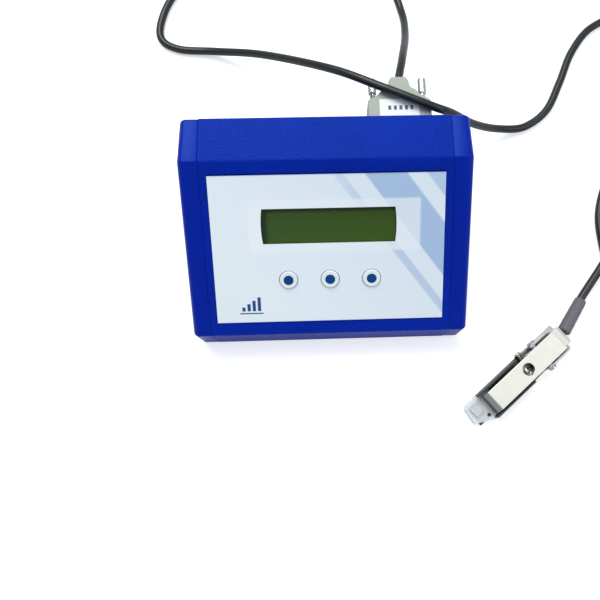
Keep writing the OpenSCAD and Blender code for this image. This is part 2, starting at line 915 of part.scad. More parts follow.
module thumbscrew_right() {
    color("silver") thumbscrew(1);
}

// ---------- cable ----------

module cable_main() {
    color("black") tube(samples(main_route), cable_d / 2);
}

module cable_coil() {
    coil_h = cable_d + coil_turns * coil_rise;
    color("black") translate(coil_pos) rotate_extrude($fn = 64)
        translate([coil_r - cable_d / 2, 0]) square([cable_d, coil_h]);
}

module cable_tail() {
    color("black") tube(samples(tail_route), cable_d / 2);
}

// ---------- sensor ----------

// Folded steel channel with a window in each wall and a tongue at the tip
module sensor_channel() {
    w = channel_w;
    color("gray") on_sensor() difference() {
        union() {
            translate([gland_rear + 0.5, -w / 2, 0])
                cube([channel_front - gland_rear - 0.5, w, floor_t]);
            for (side = [-w / 2, w / 2 - sheet_t])
                translate([channel_rear, side, 0])
                    cube([channel_front - channel_rear, sheet_t, wall_h]);
            translate([channel_front - 1, -5, 0])
                cube([tongue_end - channel_front + 1, 10, floor_t]);
        }
        for (side = [-1, 1])
            translate([-9, side * w / 2 - 2, side_screw_z - 1.5]) cube([9.5, 4, 10]);
        translate([pivot_x, -w, pivot_z]) rotate([-90, 0, 0])
            cylinder(h = 2 * w, r = pivot_r + run_fit);
        translate([27.9, 3.7, -1]) cylinder(h = 4, r = 0.7 + run_fit);
        for (x = [-17.5, -14.3]) translate([x, 0, -1])
            cylinder(h = 4, r = 0.9 + run_fit);
    }
}

// Folded steel lever: flat top, side flanges on the pivot, turned-down lip
module sensor_lever() {
    t = sheet_t;
    top = sensor_h;
    color("silver") on_sensor() difference() {
        union() {
            across_sensor(lever_w) polygon([
                [lever_rear, top], [lever_front, top], [lip_x, top - 2.4],
                [lip_x, lip_low], [lip_x - t, lip_low], [lip_x - t, top - 2.8],
                [lever_front - 0.4, top - t], [lever_rear, top - t]]);
            for (side = [-lever_w / 2, lever_w / 2 - t])
                translate([lever_rear + 0.6, side, 5.3])
                    cube([17, t, top - t - 5.3 + eps]);
        }
        cylinder(h = 2 * top, r = lever_hole_r);
        translate([pivot_x, -lever_w, pivot_z]) rotate([-90, 0, 0])
            cylinder(h = 2 * lever_w, r = pivot_r + run_fit);
    }
}

// Stud under the lever that bears on the beam
module push_stud() {
    color("silver") on_sensor() translate([stud_x, 0, beam_z + beam_t + 0.7])
        cylinder(h = sensor_h - sheet_t - beam_z - beam_t - 0.75, r = 1.6);
}

module pivot_pin() {
    l = channel_w / 2 + 0.05;
    color("silver") on_sensor() translate([pivot_x, 0, pivot_z]) rotate([-90, 0, 0]) {
        translate([0, 0, -l]) cylinder(h = 2 * l, r = pivot_r);
        for (side = [-l - 1.3, l]) translate([0, 0, side])
            cylinder(h = 1.3, r = pivot_r + 0.6);
    }
}

module load_beam() {
    color("gainsboro") on_sensor() difference() {
        translate([beam_rear, -beam_w / 2, beam_z])
            cube([beam_front - beam_rear, beam_w, beam_t]);
        for (x = [-17.5, -14.3]) translate([x, 0, 0])
            cylinder(h = 10, r = 0.9 + run_fit);
        translate(centre_at) cylinder(h = 10, r = 1.1 + run_fit);
        translate([side_screw_x, -beam_w, side_screw_z]) rotate([-90, 0, 0])
            cylinder(h = beam_w / 2 + 1.6, r = 0.9 + run_fit);
    }
}

// Screw in the beam's side, its head outside the channel's wall
module side_screw() {
    y0 = -channel_w / 2 - 0.2;
    color("silver") on_sensor() translate([side_screw_x, y0, side_screw_z])
        rotate([-90, 0, 0]) {
            translate([0, 0, -1.5]) cylinder(h = 1.5, r = 1.8);
            cylinder(h = channel_w / 2 - beam_w / 2 + 1.5, r = 0.9);
        }
}

module beam_mount() {
    color("gray") on_sensor() difference() {
        translate([beam_rear, -beam_w / 2, floor_t + 0.03])
            cube([7.5, beam_w, beam_z - floor_t - 0.06]);
        for (x = [-17.5, -14.3]) translate([x, 0, 0])
            cylinder(h = 10, r = 0.9 + run_fit);
    }
}

module beam_screws() {
    color("silver") on_sensor() for (x = [-17.5, -14.3])
        translate([x, 0, 0]) {
            translate([0, 0, 0.2]) cylinder(h = beam_z + beam_t, r = 0.9);
            translate([0, 0, beam_z + beam_t + 0.03]) cylinder(h = 1.2, r = 1.45);
        }
}

// Dome-headed screw in the beam, seen through the lever's hole
module centre_screw() {
    color("silver") on_sensor() translate(centre_at) {
        translate([0, 0, beam_z + 0.1]) cylinder(h = beam_t, r = 1.1);
        translate([0, 0, beam_z + beam_t + 0.03]) cylinder(h = 1.6, r = 2.1);
    }
}

module strain_gauge() {
    color("orange") on_sensor()
        translate([-8.9, -2, beam_z + beam_t + 0.02]) cube([5.5, 4, 0.2]);
}

// Coil spring that lifts the lever back up
module return_spring() {
    z0 = floor_t + spring_wire / 2 + 0.05;
    z1 = sensor_h - sheet_t - spring_wire / 2 - 0.05;
    steps = 14;
    n = spring_turns * steps;
    points = [for (i = [0:n])
        let (a = 360 * i / steps)
            [spring_x + (spring_r - spring_wire / 2) * cos(a),
             (spring_r - spring_wire / 2) * sin(a), z0 + (z1 - z0) * i / n]];
    color("silver") on_sensor() tube(points, spring_wire / 2);
}

// Block that grips the cable at the sensor's rear
module gland_block() {
    color("darkgray") on_sensor() difference() {
        across_sensor(9.6) polygon([
            [gland_front, floor_t + 0.05], [gland_front, 8.4],
            [gland_rear + 1.8, 8.4], [gland_rear, 7], [gland_rear, floor_t + 0.05]]);
        translate([gland_rear - 1, boot_from[1], boot_from[2]])
            rotate([0, 90, 0]) cylinder(h = 9, r = 1.6);
    }
}

// Sleeve over the cable where it leaves the sensor
module cable_boot() {
    d = boot_to - boot_from;
    color("dimgray") on_sensor() translate(boot_from)
        rotate([0, acos(d[2] / norm(d)), atan2(d[1], d[0])])
            cylinder(h = norm(d), r1 = boot_r[0], r2 = boot_r[1]);
}

// Clear finger pad at the tip, held on the channel's tongue
module tip_pad() {
    outline = [[26.5, -7.2], [32, -7.4], [35.2, -6.6], [36.4, 2.2], [26.5, 7.2]];
    color("white", 0.4) on_sensor() difference() {
        union() {
            translate([0, 0, pad_z]) linear_extrude(pad_h) polygon(outline);
            translate([20, -channel_w / 2 + sheet_t + 0.2, pad_z])
                cube([7, channel_w - 2 * sheet_t - 0.4, pad_h]);
            translate([29, -4.2, pad_z]) cube([4.5, 4.6, pad_h + 1.7]);
        }
        translate([27.9, 3.7, 0]) cylinder(h = 10, r = 0.9);
    }
}

module tip_screw() {
    color("black") on_sensor() translate([27.9, 3.7, 0.1])
        cylinder(h = pad_z + pad_h - 0.2, r = 0.7);
}

top_cover();
base_tray();
left_cheek();
right_cheek();
case_screws();
base_pads();
front_overlay();
display_window();
display_bezel();
display_glass();
display_backlight();
display_board();
display_screws();
button_left();
button_middle();
button_right();
key_switches();
key_board();
key_board_screws();
main_board();
board_chips();
board_connectors();
main_board_screws();
display_ribbon();
input_ribbon();
battery();
battery_snap();
battery_lid();
battery_lid_screw();
socket_shell();
socket_insulator();
jack_posts();
plug_shell();
plug_insulator();
plug_pins();
plug_hood_upper();
plug_hood_lower();
hood_screws();
cable_clamp();
plug_label();
thumbscrew_left();
thumbscrew_right();
cable_main();
cable_coil();
cable_tail();
sensor_channel();
sensor_lever();
push_stud();
pivot_pin();
load_beam();
beam_mount();
beam_screws();
side_screw();
centre_screw();
strain_gauge();
return_spring();
gland_block();
cable_boot();
tip_pad();
tip_screw();
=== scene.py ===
"""Desk readout console with a pinch force sensor on a free lead, dressed for rendering.

Every length is in metres in the model's own frame: X to the right of the front panel, Y to
the rear, Z up from the table, with the origin under the middle of the console.
"""

import logging
import math
from dataclasses import dataclass
from enum import Enum
from typing import Callable, Dict, List, Optional, Sequence, Tuple, Union

import bmesh
import bpy
import numpy as np
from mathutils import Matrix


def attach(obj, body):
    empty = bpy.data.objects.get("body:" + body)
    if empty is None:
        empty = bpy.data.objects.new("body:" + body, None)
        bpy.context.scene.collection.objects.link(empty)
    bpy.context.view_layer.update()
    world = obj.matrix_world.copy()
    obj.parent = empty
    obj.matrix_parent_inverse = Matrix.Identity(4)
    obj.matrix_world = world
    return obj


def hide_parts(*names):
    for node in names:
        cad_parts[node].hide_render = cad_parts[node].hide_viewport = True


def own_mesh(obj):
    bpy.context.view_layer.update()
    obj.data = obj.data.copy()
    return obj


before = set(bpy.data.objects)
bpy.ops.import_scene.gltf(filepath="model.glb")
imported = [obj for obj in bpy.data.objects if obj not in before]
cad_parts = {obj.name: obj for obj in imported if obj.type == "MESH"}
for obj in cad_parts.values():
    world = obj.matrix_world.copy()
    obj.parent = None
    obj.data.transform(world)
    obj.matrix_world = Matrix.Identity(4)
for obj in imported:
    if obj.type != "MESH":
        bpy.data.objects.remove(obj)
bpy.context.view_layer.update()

LOG = logging.getLogger("hand_dynamometer")
MM = 0.001
TAU = 2 * math.pi
CONSOLE = "console_and_lead"
Colour = Tuple[float, float, float]
Point = Tuple[float, float, float]
MADE: Dict[str, bpy.types.Material] = {}


# ---------------------------------------------------------------- shader tools


class Num:
    """A number that varies over a surface; arithmetic on it adds Math nodes."""

    def __init__(self, tree: "Tree", socket: bpy.types.NodeSocket) -> None:
        """Args: tree: the material's tree. socket: the output that carries the number."""
        self.tree = tree
        self.socket = socket

    def __add__(self, other: "Value") -> "Num":
        """Sum.

        Args:
            other: a value or a plain number.

        Returns:
            The value, in the same node tree.
        """
        return self.tree.math("ADD", self, other)

    __radd__ = __add__

    def __sub__(self, other: "Value") -> "Num":
        """Difference.

        Args:
            other: a value or a plain number.

        Returns:
            The value, in the same node tree.
        """
        return self.tree.math("SUBTRACT", self, other)

    def __rsub__(self, other: "Value") -> "Num":
        """Difference the other way round.

        Args:
            other: a value or a plain number.

        Returns:
            The value, in the same node tree.
        """
        return self.tree.math("SUBTRACT", other, self)

    def __mul__(self, other: "Value") -> "Num":
        """Product.

        Args:
            other: a value or a plain number.

        Returns:
            The value, in the same node tree.
        """
        return self.tree.math("MULTIPLY", self, other)

    __rmul__ = __mul__

    def __truediv__(self, other: "Value") -> "Num":
        """Quotient.

        Args:
            other: a value or a plain number.

        Returns:
            The value, in the same node tree.
        """
        return self.tree.math("DIVIDE", self, other)

    def __abs__(self) -> "Num":
        """Size without sign.

        Returns:
            The value, in the same node tree.
        """
        return self.tree.math("ABSOLUTE", self)

    def above(self, edge: float, soft: float) -> "Num":
        """Mask that rises from 0 to 1 where this passes edge, over a width of soft.

        Args:
            edge: where the mask is half way up.
            soft: width of the rise.

        Returns:
            The value, in the same node tree.
        """
        return self.tree.math("DIVIDE", self - (edge - soft / 2), soft, clamp=True)

    def within(self, centre: float, half: float, soft: float) -> "Num":
        """Mask that is 1 where this lies within half of centre.

        Args:
            centre: middle of the band.
            half: half its width.
            soft: width of each side's rise.

        Returns:
            The value, in the same node tree.
        """
        return 1 - abs(self - centre).above(half, soft)

    def most(self, other: "Value") -> "Num":
        """The larger of the two.

        Args:
            other: a value or a plain number.

        Returns:
            The value, in the same node tree.
        """
        return self.tree.math("MAXIMUM", self, other)

    def wave(self) -> "Num":
        """Sine of this.

        Returns:
            The value, in the same node tree.
        """
        return self.tree.math("SINE", self)

    def clamped(self) -> "Num":
        """This, held between 0 and 1.

        Returns:
            The value, in the same node tree.
        """
        return self.tree.math("ADD", self, 0.0, clamp=True)


Value = Union[Num, float]


class Nodes:
    """A node tree and the one way to add nodes to it."""

    def __init__(self, tree: bpy.types.NodeTree) -> None:
        """Empties the tree.

        Args:
            tree: a material's or a world's node tree.
        """
        self.nodes = tree.nodes
        self.links = tree.links
        self.nodes.clear()

    def node(self, kind: str, settings: Optional[Dict] = None,
             inputs: Optional[Dict] = None) -> bpy.types.Node:
        """Adds a node.

        Args:
            kind: the node's type, without its "ShaderNode" start.
            settings: attributes that are set before the inputs; "stops" fills a ramp.
            inputs: values, sockets or Nums by input name or number.

        Returns:
            The new node.
        """
        node = self.nodes.new("ShaderNode" + kind)
        for key, value in (settings or {}).items():
            if key == "stops":
                ramp = node.color_ramp
                while len(ramp.elements) < len(value):
                    ramp.elements.new(0.5)
                for element, (place, tint) in zip(ramp.elements, value):
                    element.position, element.color = place, (*tint, 1.0)
            else:
                setattr(node, key, value)
        for key, value in (inputs or {}).items():
            self.feed(node.inputs[key], value)
        return node

    def feed(self, socket: bpy.types.NodeSocket, value: object) -> None:
        """Links a Num or socket to an input, or sets a plain value on it.

        Args:
            socket: the input.
            value: a Num, a socket or a plain value.
        """
        if isinstance(value, Num):
            value = value.socket
        if isinstance(value, bpy.types.NodeSocket):
            self.links.new(value, socket)
        elif isinstance(value, tuple) and len(value) == 3 and socket.type == "RGBA":
            socket.default_value = (*value, 1.0)
        else:
            socket.default_value = value

    def math(self, operation: str, a: Value, b: Value = 0.0, clamp: bool = False) -> Num:
        """One Math node on a and b.

        Args:
            operation: the Math node's operation.
            a: first value.
            b: second value.
            clamp: whether the result is held between 0 and 1.

        Returns:
            The result.
        """
        node = self.node("Math", {"operation": operation, "use_clamp": clamp}, {0: a, 1: b})
        return Num(self, node.outputs[0])


class Tree(Nodes):
    """One material's node tree, with its surface shader ready to be fed."""

    def __init__(self, name: str) -> None:
        """Starts a material.

        Args:
            name: the material's name.
        """
        self.material = bpy.data.materials.new(name)
        self.material.use_nodes = True
        super().__init__(self.material.node_tree)
        self.surface = self.nodes.new("ShaderNodeBsdfPrincipled")
        self.output = self.nodes.new("ShaderNodeOutputMaterial")
        self.links.new(self.surface.outputs[0], self.output.inputs["Surface"])
        self._coords: Optional[bpy.types.NodeSocket] = None

    @property
    def coords(self) -> bpy.types.NodeSocket:
        """The surface point in the model's frame.

        Returns:
            The Object coordinate socket.
        """
        if self._coords is None:
            self._coords = self.node("TexCoord").outputs["Object"]
        return self._coords

    def xyz(self, about: Point = (0.0, 0.0, 0.0)) -> Tuple[Num, Num, Num]:
        """The surface point's three coordinates, counted from about.

        Args:
            about: the point that they are counted from.

        Returns:
            X, Y and Z.
        """
        moved = self.node("VectorMath", {"operation": "SUBTRACT"}, {0: self.coords, 1: about})
        split = self.node("SeparateXYZ", inputs={0: moved.outputs[0]})
        return tuple(Num(self, split.outputs[i]) for i in range(3))

    def stretched(self, scale: Point, turn: float = 0.0) -> bpy.types.NodeSocket:
        """The surface point turned about Z and then scaled along each axis.

        Args:
            scale: factor along each axis.
            turn: turn about Z, in radians.

        Returns:
            The vector socket.
        """
        node = self.node("Mapping", {"vector_type": "TEXTURE"},
                         {0: self.coords, 2: (0.0, 0.0, turn),
                          3: tuple(1.0 / s for s in scale)})
        return node.outputs[0]

    def noise(self, scale: float, detail: float = 2.0, rough: float = 0.5,
              vector: Optional[bpy.types.NodeSocket] = None) -> Num:
        """Fractal noise from 0 to 1 with about scale features to a metre.

        Args:
            scale: features to a metre.
            detail: octaves.
            rough: share of the finer octaves.
            vector: where it is read, or None for the surface point.

        Returns:
            The noise.
        """
        node = self.node("TexNoise", inputs={"Vector": vector or self.coords, "Scale": scale,
                                             "Detail": detail, "Roughness": rough})
        return Num(self, node.outputs["Fac"])

    def cells(self, scale: float) -> Num:
        """Distance to the nearest of scattered points, about scale of them to a metre.

        Args:
            scale: points to a metre.

        Returns:
            The distance.
        """
        node = self.node("TexVoronoi", {"feature": "F1"},
                         {"Vector": self.coords, "Scale": scale})
        return Num(self, node.outputs["Distance"])

    def mix(self, share: Value, a: object, b: object) -> bpy.types.NodeSocket:
        """Colour that goes from a to b as share goes from 0 to 1.

        Args:
            share: how far from a to b.
            a: first colour.
            b: second colour.

        Returns:
            The colour socket.
        """
        node = self.node("Mix", {"data_type": "RGBA"}, {0: share, 6: a, 7: b})
        return node.outputs[2]

    def bump(self, height: Num, depth: float, strength: float = 1.0) -> None:
        """Roughens the surface's normal by height times depth, in metres.

        Args:
            height: pattern from 0 to 1.
            depth: its full height in metres.
            strength: the bump's strength.
        """
        node = self.node("Bump", inputs={"Height": height, "Distance": depth,
                                         "Strength": strength})
        self.links.new(node.outputs[0], self.surface.inputs["Normal"])

    def dress(self, **sockets: object) -> bpy.types.Material:
        """Feeds the surface shader's sockets and returns the material.

        Returns:
            The material.
        """
        for key, value in sockets.items():
            self.feed(self.surface.inputs[key.replace("_", " ")], value)
        return self.material


# ------------------------------------------------------------------- finishes


@dataclass(frozen=True)
class Finish:
    """A finish: its name and its main colour."""

    name: str
    colour: Colour

    def make(self) -> bpy.types.Material:
        """Builds the material.

        Returns:
            The new material.
        """
        raise NotImplementedError

    def material(self) -> bpy.types.Material:
        """The finish's material, built on first use.

        Returns:
            The material.
        """
        if self.name not in MADE:
            MADE[self.name] = self.make()
        return MADE[self.name]

    def shade(self, by: float) -> Colour:
        """The main colour, by times as bright.

        Args:
            by: factor on the brightness.

        Returns:
            The colour.
        """
        return tuple(min(1.0, c * by) for c in self.colour)


@dataclass(frozen=True)
class Moulded(Finish):
    """Moulded plastic: spark-eroded grain, faint flow clouds, and a painted sparkle that lightens
    the grain's high spots.
    """

    rough: float = 0.5
    grain: float = 1500.0
    depth: float = 0.00012
    gloss: float = 0.3
    sheen: Colour = (1.0, 1.0, 1.0)
    contrast: float = 0.07

    def make(self) -> bpy.types.Material:
        """Grain height is fine noise raised by scattered pits; clouds vary the colour, and the
        fine noise also lightens the grain's high spots as a painted sparkle.

        Returns:
            The new material.
        """
        tree = Tree(self.name)
        clouds = tree.noise(26.0, 3.0)
        fine = tree.noise(self.grain, 3.0, 0.65)
        pits = tree.cells(self.grain * 0.7)
        # tone: random grain and cloud tone, plus a painted sparkle that lightens the colour where
        # the fine noise is high
        tone = (fine * 1.5 - 0.45 + (clouds - 0.5) * 0.5).clamped()
        tree.bump(fine * 0.7 + pits * 0.5, self.depth, 0.7)
        return tree.dress(
            Base_Color=tree.mix(tone, self.shade(1 - self.contrast),
                                self.shade(1 + self.contrast)),
            Roughness=(self.rough - 0.10) + fine * 0.20,
            Specular_IOR_Level=self.gloss, Specular_Tint=self.sheen)


@dataclass(frozen=True)
class Brushed(Finish):
    """Brushed or rolled metal: streaks along one direction, stains and fine scratches."""

    rough: float = 0.32
    turn: float = 0.0
    metal: float = 1.0
    stain: float = 0.2

    def make(self) -> bpy.types.Material:
        """Streaks are noise stretched along the grain, 17.5 times longer than wide.

        Returns:
            The new material.
        """
        tree = Tree(self.name)
        streaks = tree.noise(260.0, 4.0, 0.6, tree.stretched((0.8, 14.0, 14.0), self.turn))
        stains = tree.noise(160.0, 4.0, 0.6)
        scratches = tree.noise(90.0, 5.0, 0.7, tree.stretched((2.0, 26.0, 26.0), self.turn + 0.5))
        tone = (streaks * 0.55 + stains * self.stain + 0.1).clamped()
        tree.bump(streaks * 0.6 + scratches * 0.4, 0.00004, 0.35)
        return tree.dress(
            Base_Color=tree.mix(tone, self.shade(0.72), self.shade(1.12)), Metallic=self.metal,
            Roughness=(self.rough - 0.08) + streaks * 0.12 + stains * 0.08)


@dataclass(frozen=True)
class Sheath(Finish):
    """Flexible black sheath or sleeve: satin skin with faint drag lines and dust."""

    rough: float = 0.38
    gloss: float = 0.5
    dust: float = 0.12
    weave: float = 0.0

    def make(self) -> bpy.types.Material:
        """Dust is coarse noise past a threshold; the weave is fine bright and dark flecks.

        Returns:
            The new material.
        """
        tree = Tree(self.name)
        skin = tree.noise(900.0, 3.0)
        dust = tree.noise(220.0, 5.0, 0.7).above(0.62, 0.25)
        flecks = (tree.noise(3600.0, 2.0, 0.7) * 2.0 - 0.5).clamped()
        ground = tree.mix(flecks * self.weave, self.colour, self.shade(1.9))
        tree.bump(skin, 0.00005, 0.3)
        return tree.dress(
            Base_Color=tree.mix(dust * self.dust, ground, (0.25, 0.26, 0.27)),
            Roughness=(self.rough - 0.05) + skin * 0.10 + dust * 0.08,
            Specular_IOR_Level=self.gloss)


@dataclass(frozen=True)
class Clear(Finish):
    """Clear plastic with faint haze and handling marks."""

    alpha: float = 0.4
    rough: float = 0.05
    through: float = 1.0

    def make(self) -> bpy.types.Material:
        """Haze is noise added to a low roughness.

        Returns:
            The new material.
        """
        tree = Tree(self.name)
        haze = tree.noise(300.0, 4.0, 0.6)
        tree.bump(tree.noise(140.0, 2.0), 0.00005, 0.15)
        return tree.dress(Base_Color=tree.mix(haze, self.shade(0.95), self.shade(1.05)),
                          Roughness=self.rough + haze * 0.08, IOR=1.46,
                          Transmission_Weight=self.through, Alpha=self.alpha)


@dataclass(frozen=True)
class SlopeFrame:
    """Turns the model's coordinates into distances along the sloping panel."""

    front_y: float = -45 * MM
    front_h: float = 20.7 * MM
    angle: float = math.radians(32)

    def up(self, tree: Tree) -> Tuple[Num, Num]:
        """Distances over the panel: to the right, and up the slope from its front edge.

        Args:
            tree: the material's nodes.

        Returns:
            Both distances.
        """
        x, y, z = tree.xyz((0.0, self.front_y, self.front_h))
        return x, y * math.cos(self.angle) + z * math.sin(self.angle)

    def place(self, x: np.ndarray, s: np.ndarray, n: np.ndarray) -> np.ndarray:
        """Points x across, s up the slope and n out of it, as rows of X, Y, Z.

        Args:
            x: distances across.
            s: distances up the slope.
            n: distances out of it.

        Returns:
            (n, 3) points.
        """
        c, k = math.cos(self.angle), math.sin(self.angle)
        return np.stack([x, self.front_y + s * c - n * k, self.front_h + s * k + n * c], -1)


@dataclass(frozen=True)
class PrintedFilm(Finish):
    """Printed overlay film: pale ground, soft slanting bands and a small bar symbol."""

    band: Colour = (0.33, 0.47, 0.68)
    ink: Colour = (0.01, 0.06, 0.22)
    window: Tuple[float, float, float, float] = (3 * MM, 52.2 * MM, 38.6 * MM, 12.1 * MM)

    def make(self) -> bpy.types.Material:
        """Bands are masks on a slanted coordinate, limited to the panel's right part.

        Returns:
            The new material.
        """
        tree = Tree(self.name)
        x, s = SlopeFrame().up(tree)
        slant = x * 0.80 + s * 0.60
        right = x.above(6 * MM, 30 * MM)
        wide = slant.within(66 * MM, 7.5 * MM, 1.0 * MM)
        thin = slant.within(49 * MM, 1.8 * MM, 0.8 * MM)
        last = slant.within(84 * MM, 3.5 * MM, 1.0 * MM)
        wash = ((x * 0.7 + s * 0.7).above(30 * MM, 70 * MM)) * 0.22
        bands = ((wide * 0.85 + thin * 0.55 + last * 0.6) * right).clamped()
        cx, cs, hx, hs = self.window
        frame_mask = x.within(cx, hx, 1.2 * MM) * s.within(cs, hs, 1.2 * MM)
        bands = (bands * (1 - frame_mask * 0.8) + wash).clamped()
        ground = tree.mix(frame_mask * 0.35, self.colour, (0.88, 0.90, 0.93))
        bars = None
        for place, height in ((-40.0, 2.0), (-37.6, 3.6), (-35.2, 5.2), (-32.8, 6.8)):
            bar = x.within(place * MM, 0.75 * MM, 0.1 * MM) * s.within(
                (12.0 + height / 2) * MM, height / 2 * MM, 0.1 * MM)
            bars = bar if bars is None else bars + bar
        rule = x.within(-36.4 * MM, 5.4 * MM, 0.1 * MM) * s.within(10.9 * MM, 0.3 * MM, 0.1 * MM)
        ink = (bars + rule).clamped()
        fibre = tree.noise(1800.0, 2.0)
        smudge = tree.noise(34.0, 4.0)
        art = tree.mix(bands, ground, self.band)
        art = tree.mix(smudge * 0.07, art, (0.55, 0.62, 0.72))
        tree.bump(fibre, 0.00003, 0.25)
        return tree.dress(Base_Color=tree.mix(ink, art, self.ink),
                          Roughness=0.40 + fibre * 0.12, Specular_IOR_Level=0.35)


@dataclass(frozen=True)
class CharacterGlass(Finish):
    """Reflective character display at rest: two rows of faint blank cells."""

    dark: Colour = (0.016, 0.040, 0.006)
    columns: int = 16
    size: Tuple[float, float] = (56 * MM, 11.5 * MM)
    centre: Tuple[float, float] = (0.3 * MM, 52.2 * MM)

    def make(self) -> bpy.types.Material:
        """Cells come from a sine across and two rows up; a gradient darkens the top, and a painted
        shadow darkens the top and left edges.

        Returns:
            The new material.
        """
        tree = Tree(self.name)
        x, s = SlopeFrame().up(tree)
        pitch = self.size[0] / self.columns
        across = ((x - self.centre[0]) * (TAU / pitch)).wave().above(-0.75, 0.25)
        rows = abs(s - self.centre[1]).within(
            self.size[1] / 4, self.size[1] / 4 - 0.4 * MM, 0.2 * MM)
        inside = x.within(self.centre[0], self.size[0] / 2, 0.2 * MM)
        cell = across * rows * inside
        fall = (s - (self.centre[1] - 8 * MM)) / (16 * MM)
        cloud = tree.noise(55.0, 3.0)
        grain = tree.noise(2600.0, 1.0)
        tone = (fall * 0.45 + cloud * 0.35 + grain * 0.25).clamped()
        base = tree.mix(tone, self.shade(1.3), self.shade(0.66))
        left = 1 - (x - self.centre[0]).above(-8 * MM, 50 * MM)
        base = tree.mix(left * 0.45, base, (0.030, 0.085, 0.030))
        # rim: painted shadow, dark strips along the window's top and left edges where the recess
        # would shade the cells
        rim = (s.above(self.centre[1] + 6.2 * MM, 1.6 * MM)
               + 1 - x.above(self.centre[0] - 27.8 * MM, 2.2 * MM)).clamped()
        base = tree.mix(rim * 0.75, base, (0.004, 0.010, 0.004))
        tree.bump(grain, 0.00002, 0.2)
        return tree.dress(Base_Color=tree.mix(cell * 0.14, base, self.dark),
                          Roughness=0.30 + grain * 0.08, Specular_IOR_Level=0.25)


@dataclass(frozen=True)
class Board(Finish):
    """Circuit board: solder mask over a net of tracks, with plated pads."""

    def make(self) -> bpy.types.Material:
        """Tracks show where two stretched noises cross half; pads are scattered dots.

        Returns:
            The new material.
        """
        tree = Tree(self.name)
        lanes = tree.noise(300.0, 1.0, 0.5, tree.stretched((0.25, 3.0, 1.0)))
        ways = tree.noise(300.0, 1.0, 0.5, tree.stretched((3.0, 0.25, 1.0)))
        tracks = (lanes.within(0.5, 0.03, 0.02) + ways.within(0.5, 0.03, 0.02)).clamped()
        pads = 1 - tree.cells(380.0).above(0.24, 0.04)
        lit = tree.mix(tracks * 0.5, self.colour, self.shade(2.2))
        tree.bump(tracks + pads, 0.00004, 0.6)
        return tree.dress(Base_Color=tree.mix(pads, lit, (0.72, 0.70, 0.62)), Metallic=pads,
                          Roughness=0.42 - pads * 0.15)


@dataclass(frozen=True)
class BlankLabel(Finish):
    """White stuck-on label with a plain row of dark blocks, and no lettering."""

    centre: Tuple[float, float] = (35.8 * MM, 59.6 * MM)

    def make(self) -> bpy.types.Material:
        """Blocks are a clipped sine across the label's middle band.

        Returns:
            The new material.
        """
        tree = Tree(self.name)
        x, y, _ = tree.xyz((self.centre[0], self.centre[1], 0.0))
        blocks = (x * (TAU / (2.7 * MM))).wave().above(-0.15, 0.3)
        row = blocks * x.within(0.0, 6.6 * MM, 0.2 * MM) * y.within(1.1 * MM, 1.15 * MM, 0.2 * MM)
        paper = tree.noise(900.0, 3.0)
        tree.bump(paper, 0.00003, 0.3)
        ground = tree.mix(paper, self.shade(0.96), self.shade(1.04))
        return tree.dress(Base_Color=tree.mix(row * 0.92, ground, (0.02, 0.03, 0.04)),
                          Roughness=0.5 + paper * 0.1)


@dataclass(frozen=True)
class ShadedLever(Finish):
    """Satin steel lever: bright top, a folded band painted darker as shade, painted shade on its
    low parts, and a browned end face.
    """

    turn: float = math.radians(219.6)
    shade_band_at: float = 22.75 * MM
    face_at: float = 25.1 * MM

    def make(self) -> bpy.types.Material:
        """Masks on the distance towards the tip pick out the band, painted darker as shade, and
        the end face; a mask on height paints shade on the lever's low parts.

        Returns:
            The new material.
        """
        tree = Tree(self.name)
        x, y, z = tree.xyz((95 * MM, -64 * MM, 0.0))
        ahead = x * math.cos(self.turn) + y * math.sin(self.turn)
        # band: painted shade on the sloped folded band, which even light would show nearly as
        # bright as the top
        band = ahead.above(self.shade_band_at, 0.2 * MM)
        face = ahead.above(self.face_at, 0.1 * MM)
        streaks = tree.noise(240.0, 4.0, 0.6, tree.stretched((0.8, 12.0, 12.0), self.turn))
        stains = tree.noise(230.0, 5.0, 0.65)
        # low: painted shade on the lever's parts below its top, inside the channel
        low = 1 - z.above(10.2 * MM, 0.6 * MM)
        tone = (streaks * 0.5 + stains * 0.5).clamped()
        steel = tree.mix(tone, self.shade(0.86), self.shade(1.10))
        steel = tree.mix(band * 0.9, steel, (0.27, 0.30, 0.29))
        # the dark mix takes the end face's own brown-black and, at 0.35, painted shade on the low
        # parts
        steel = tree.mix((face + low * 0.35).clamped() * 0.95, steel, (0.022, 0.018, 0.015))
        tree.bump(streaks, 0.00003, 0.35)
        return tree.dress(Base_Color=steel, Metallic=0.75 - face * 0.70,
                          Roughness=0.34 + streaks * 0.10 + stains * 0.08)


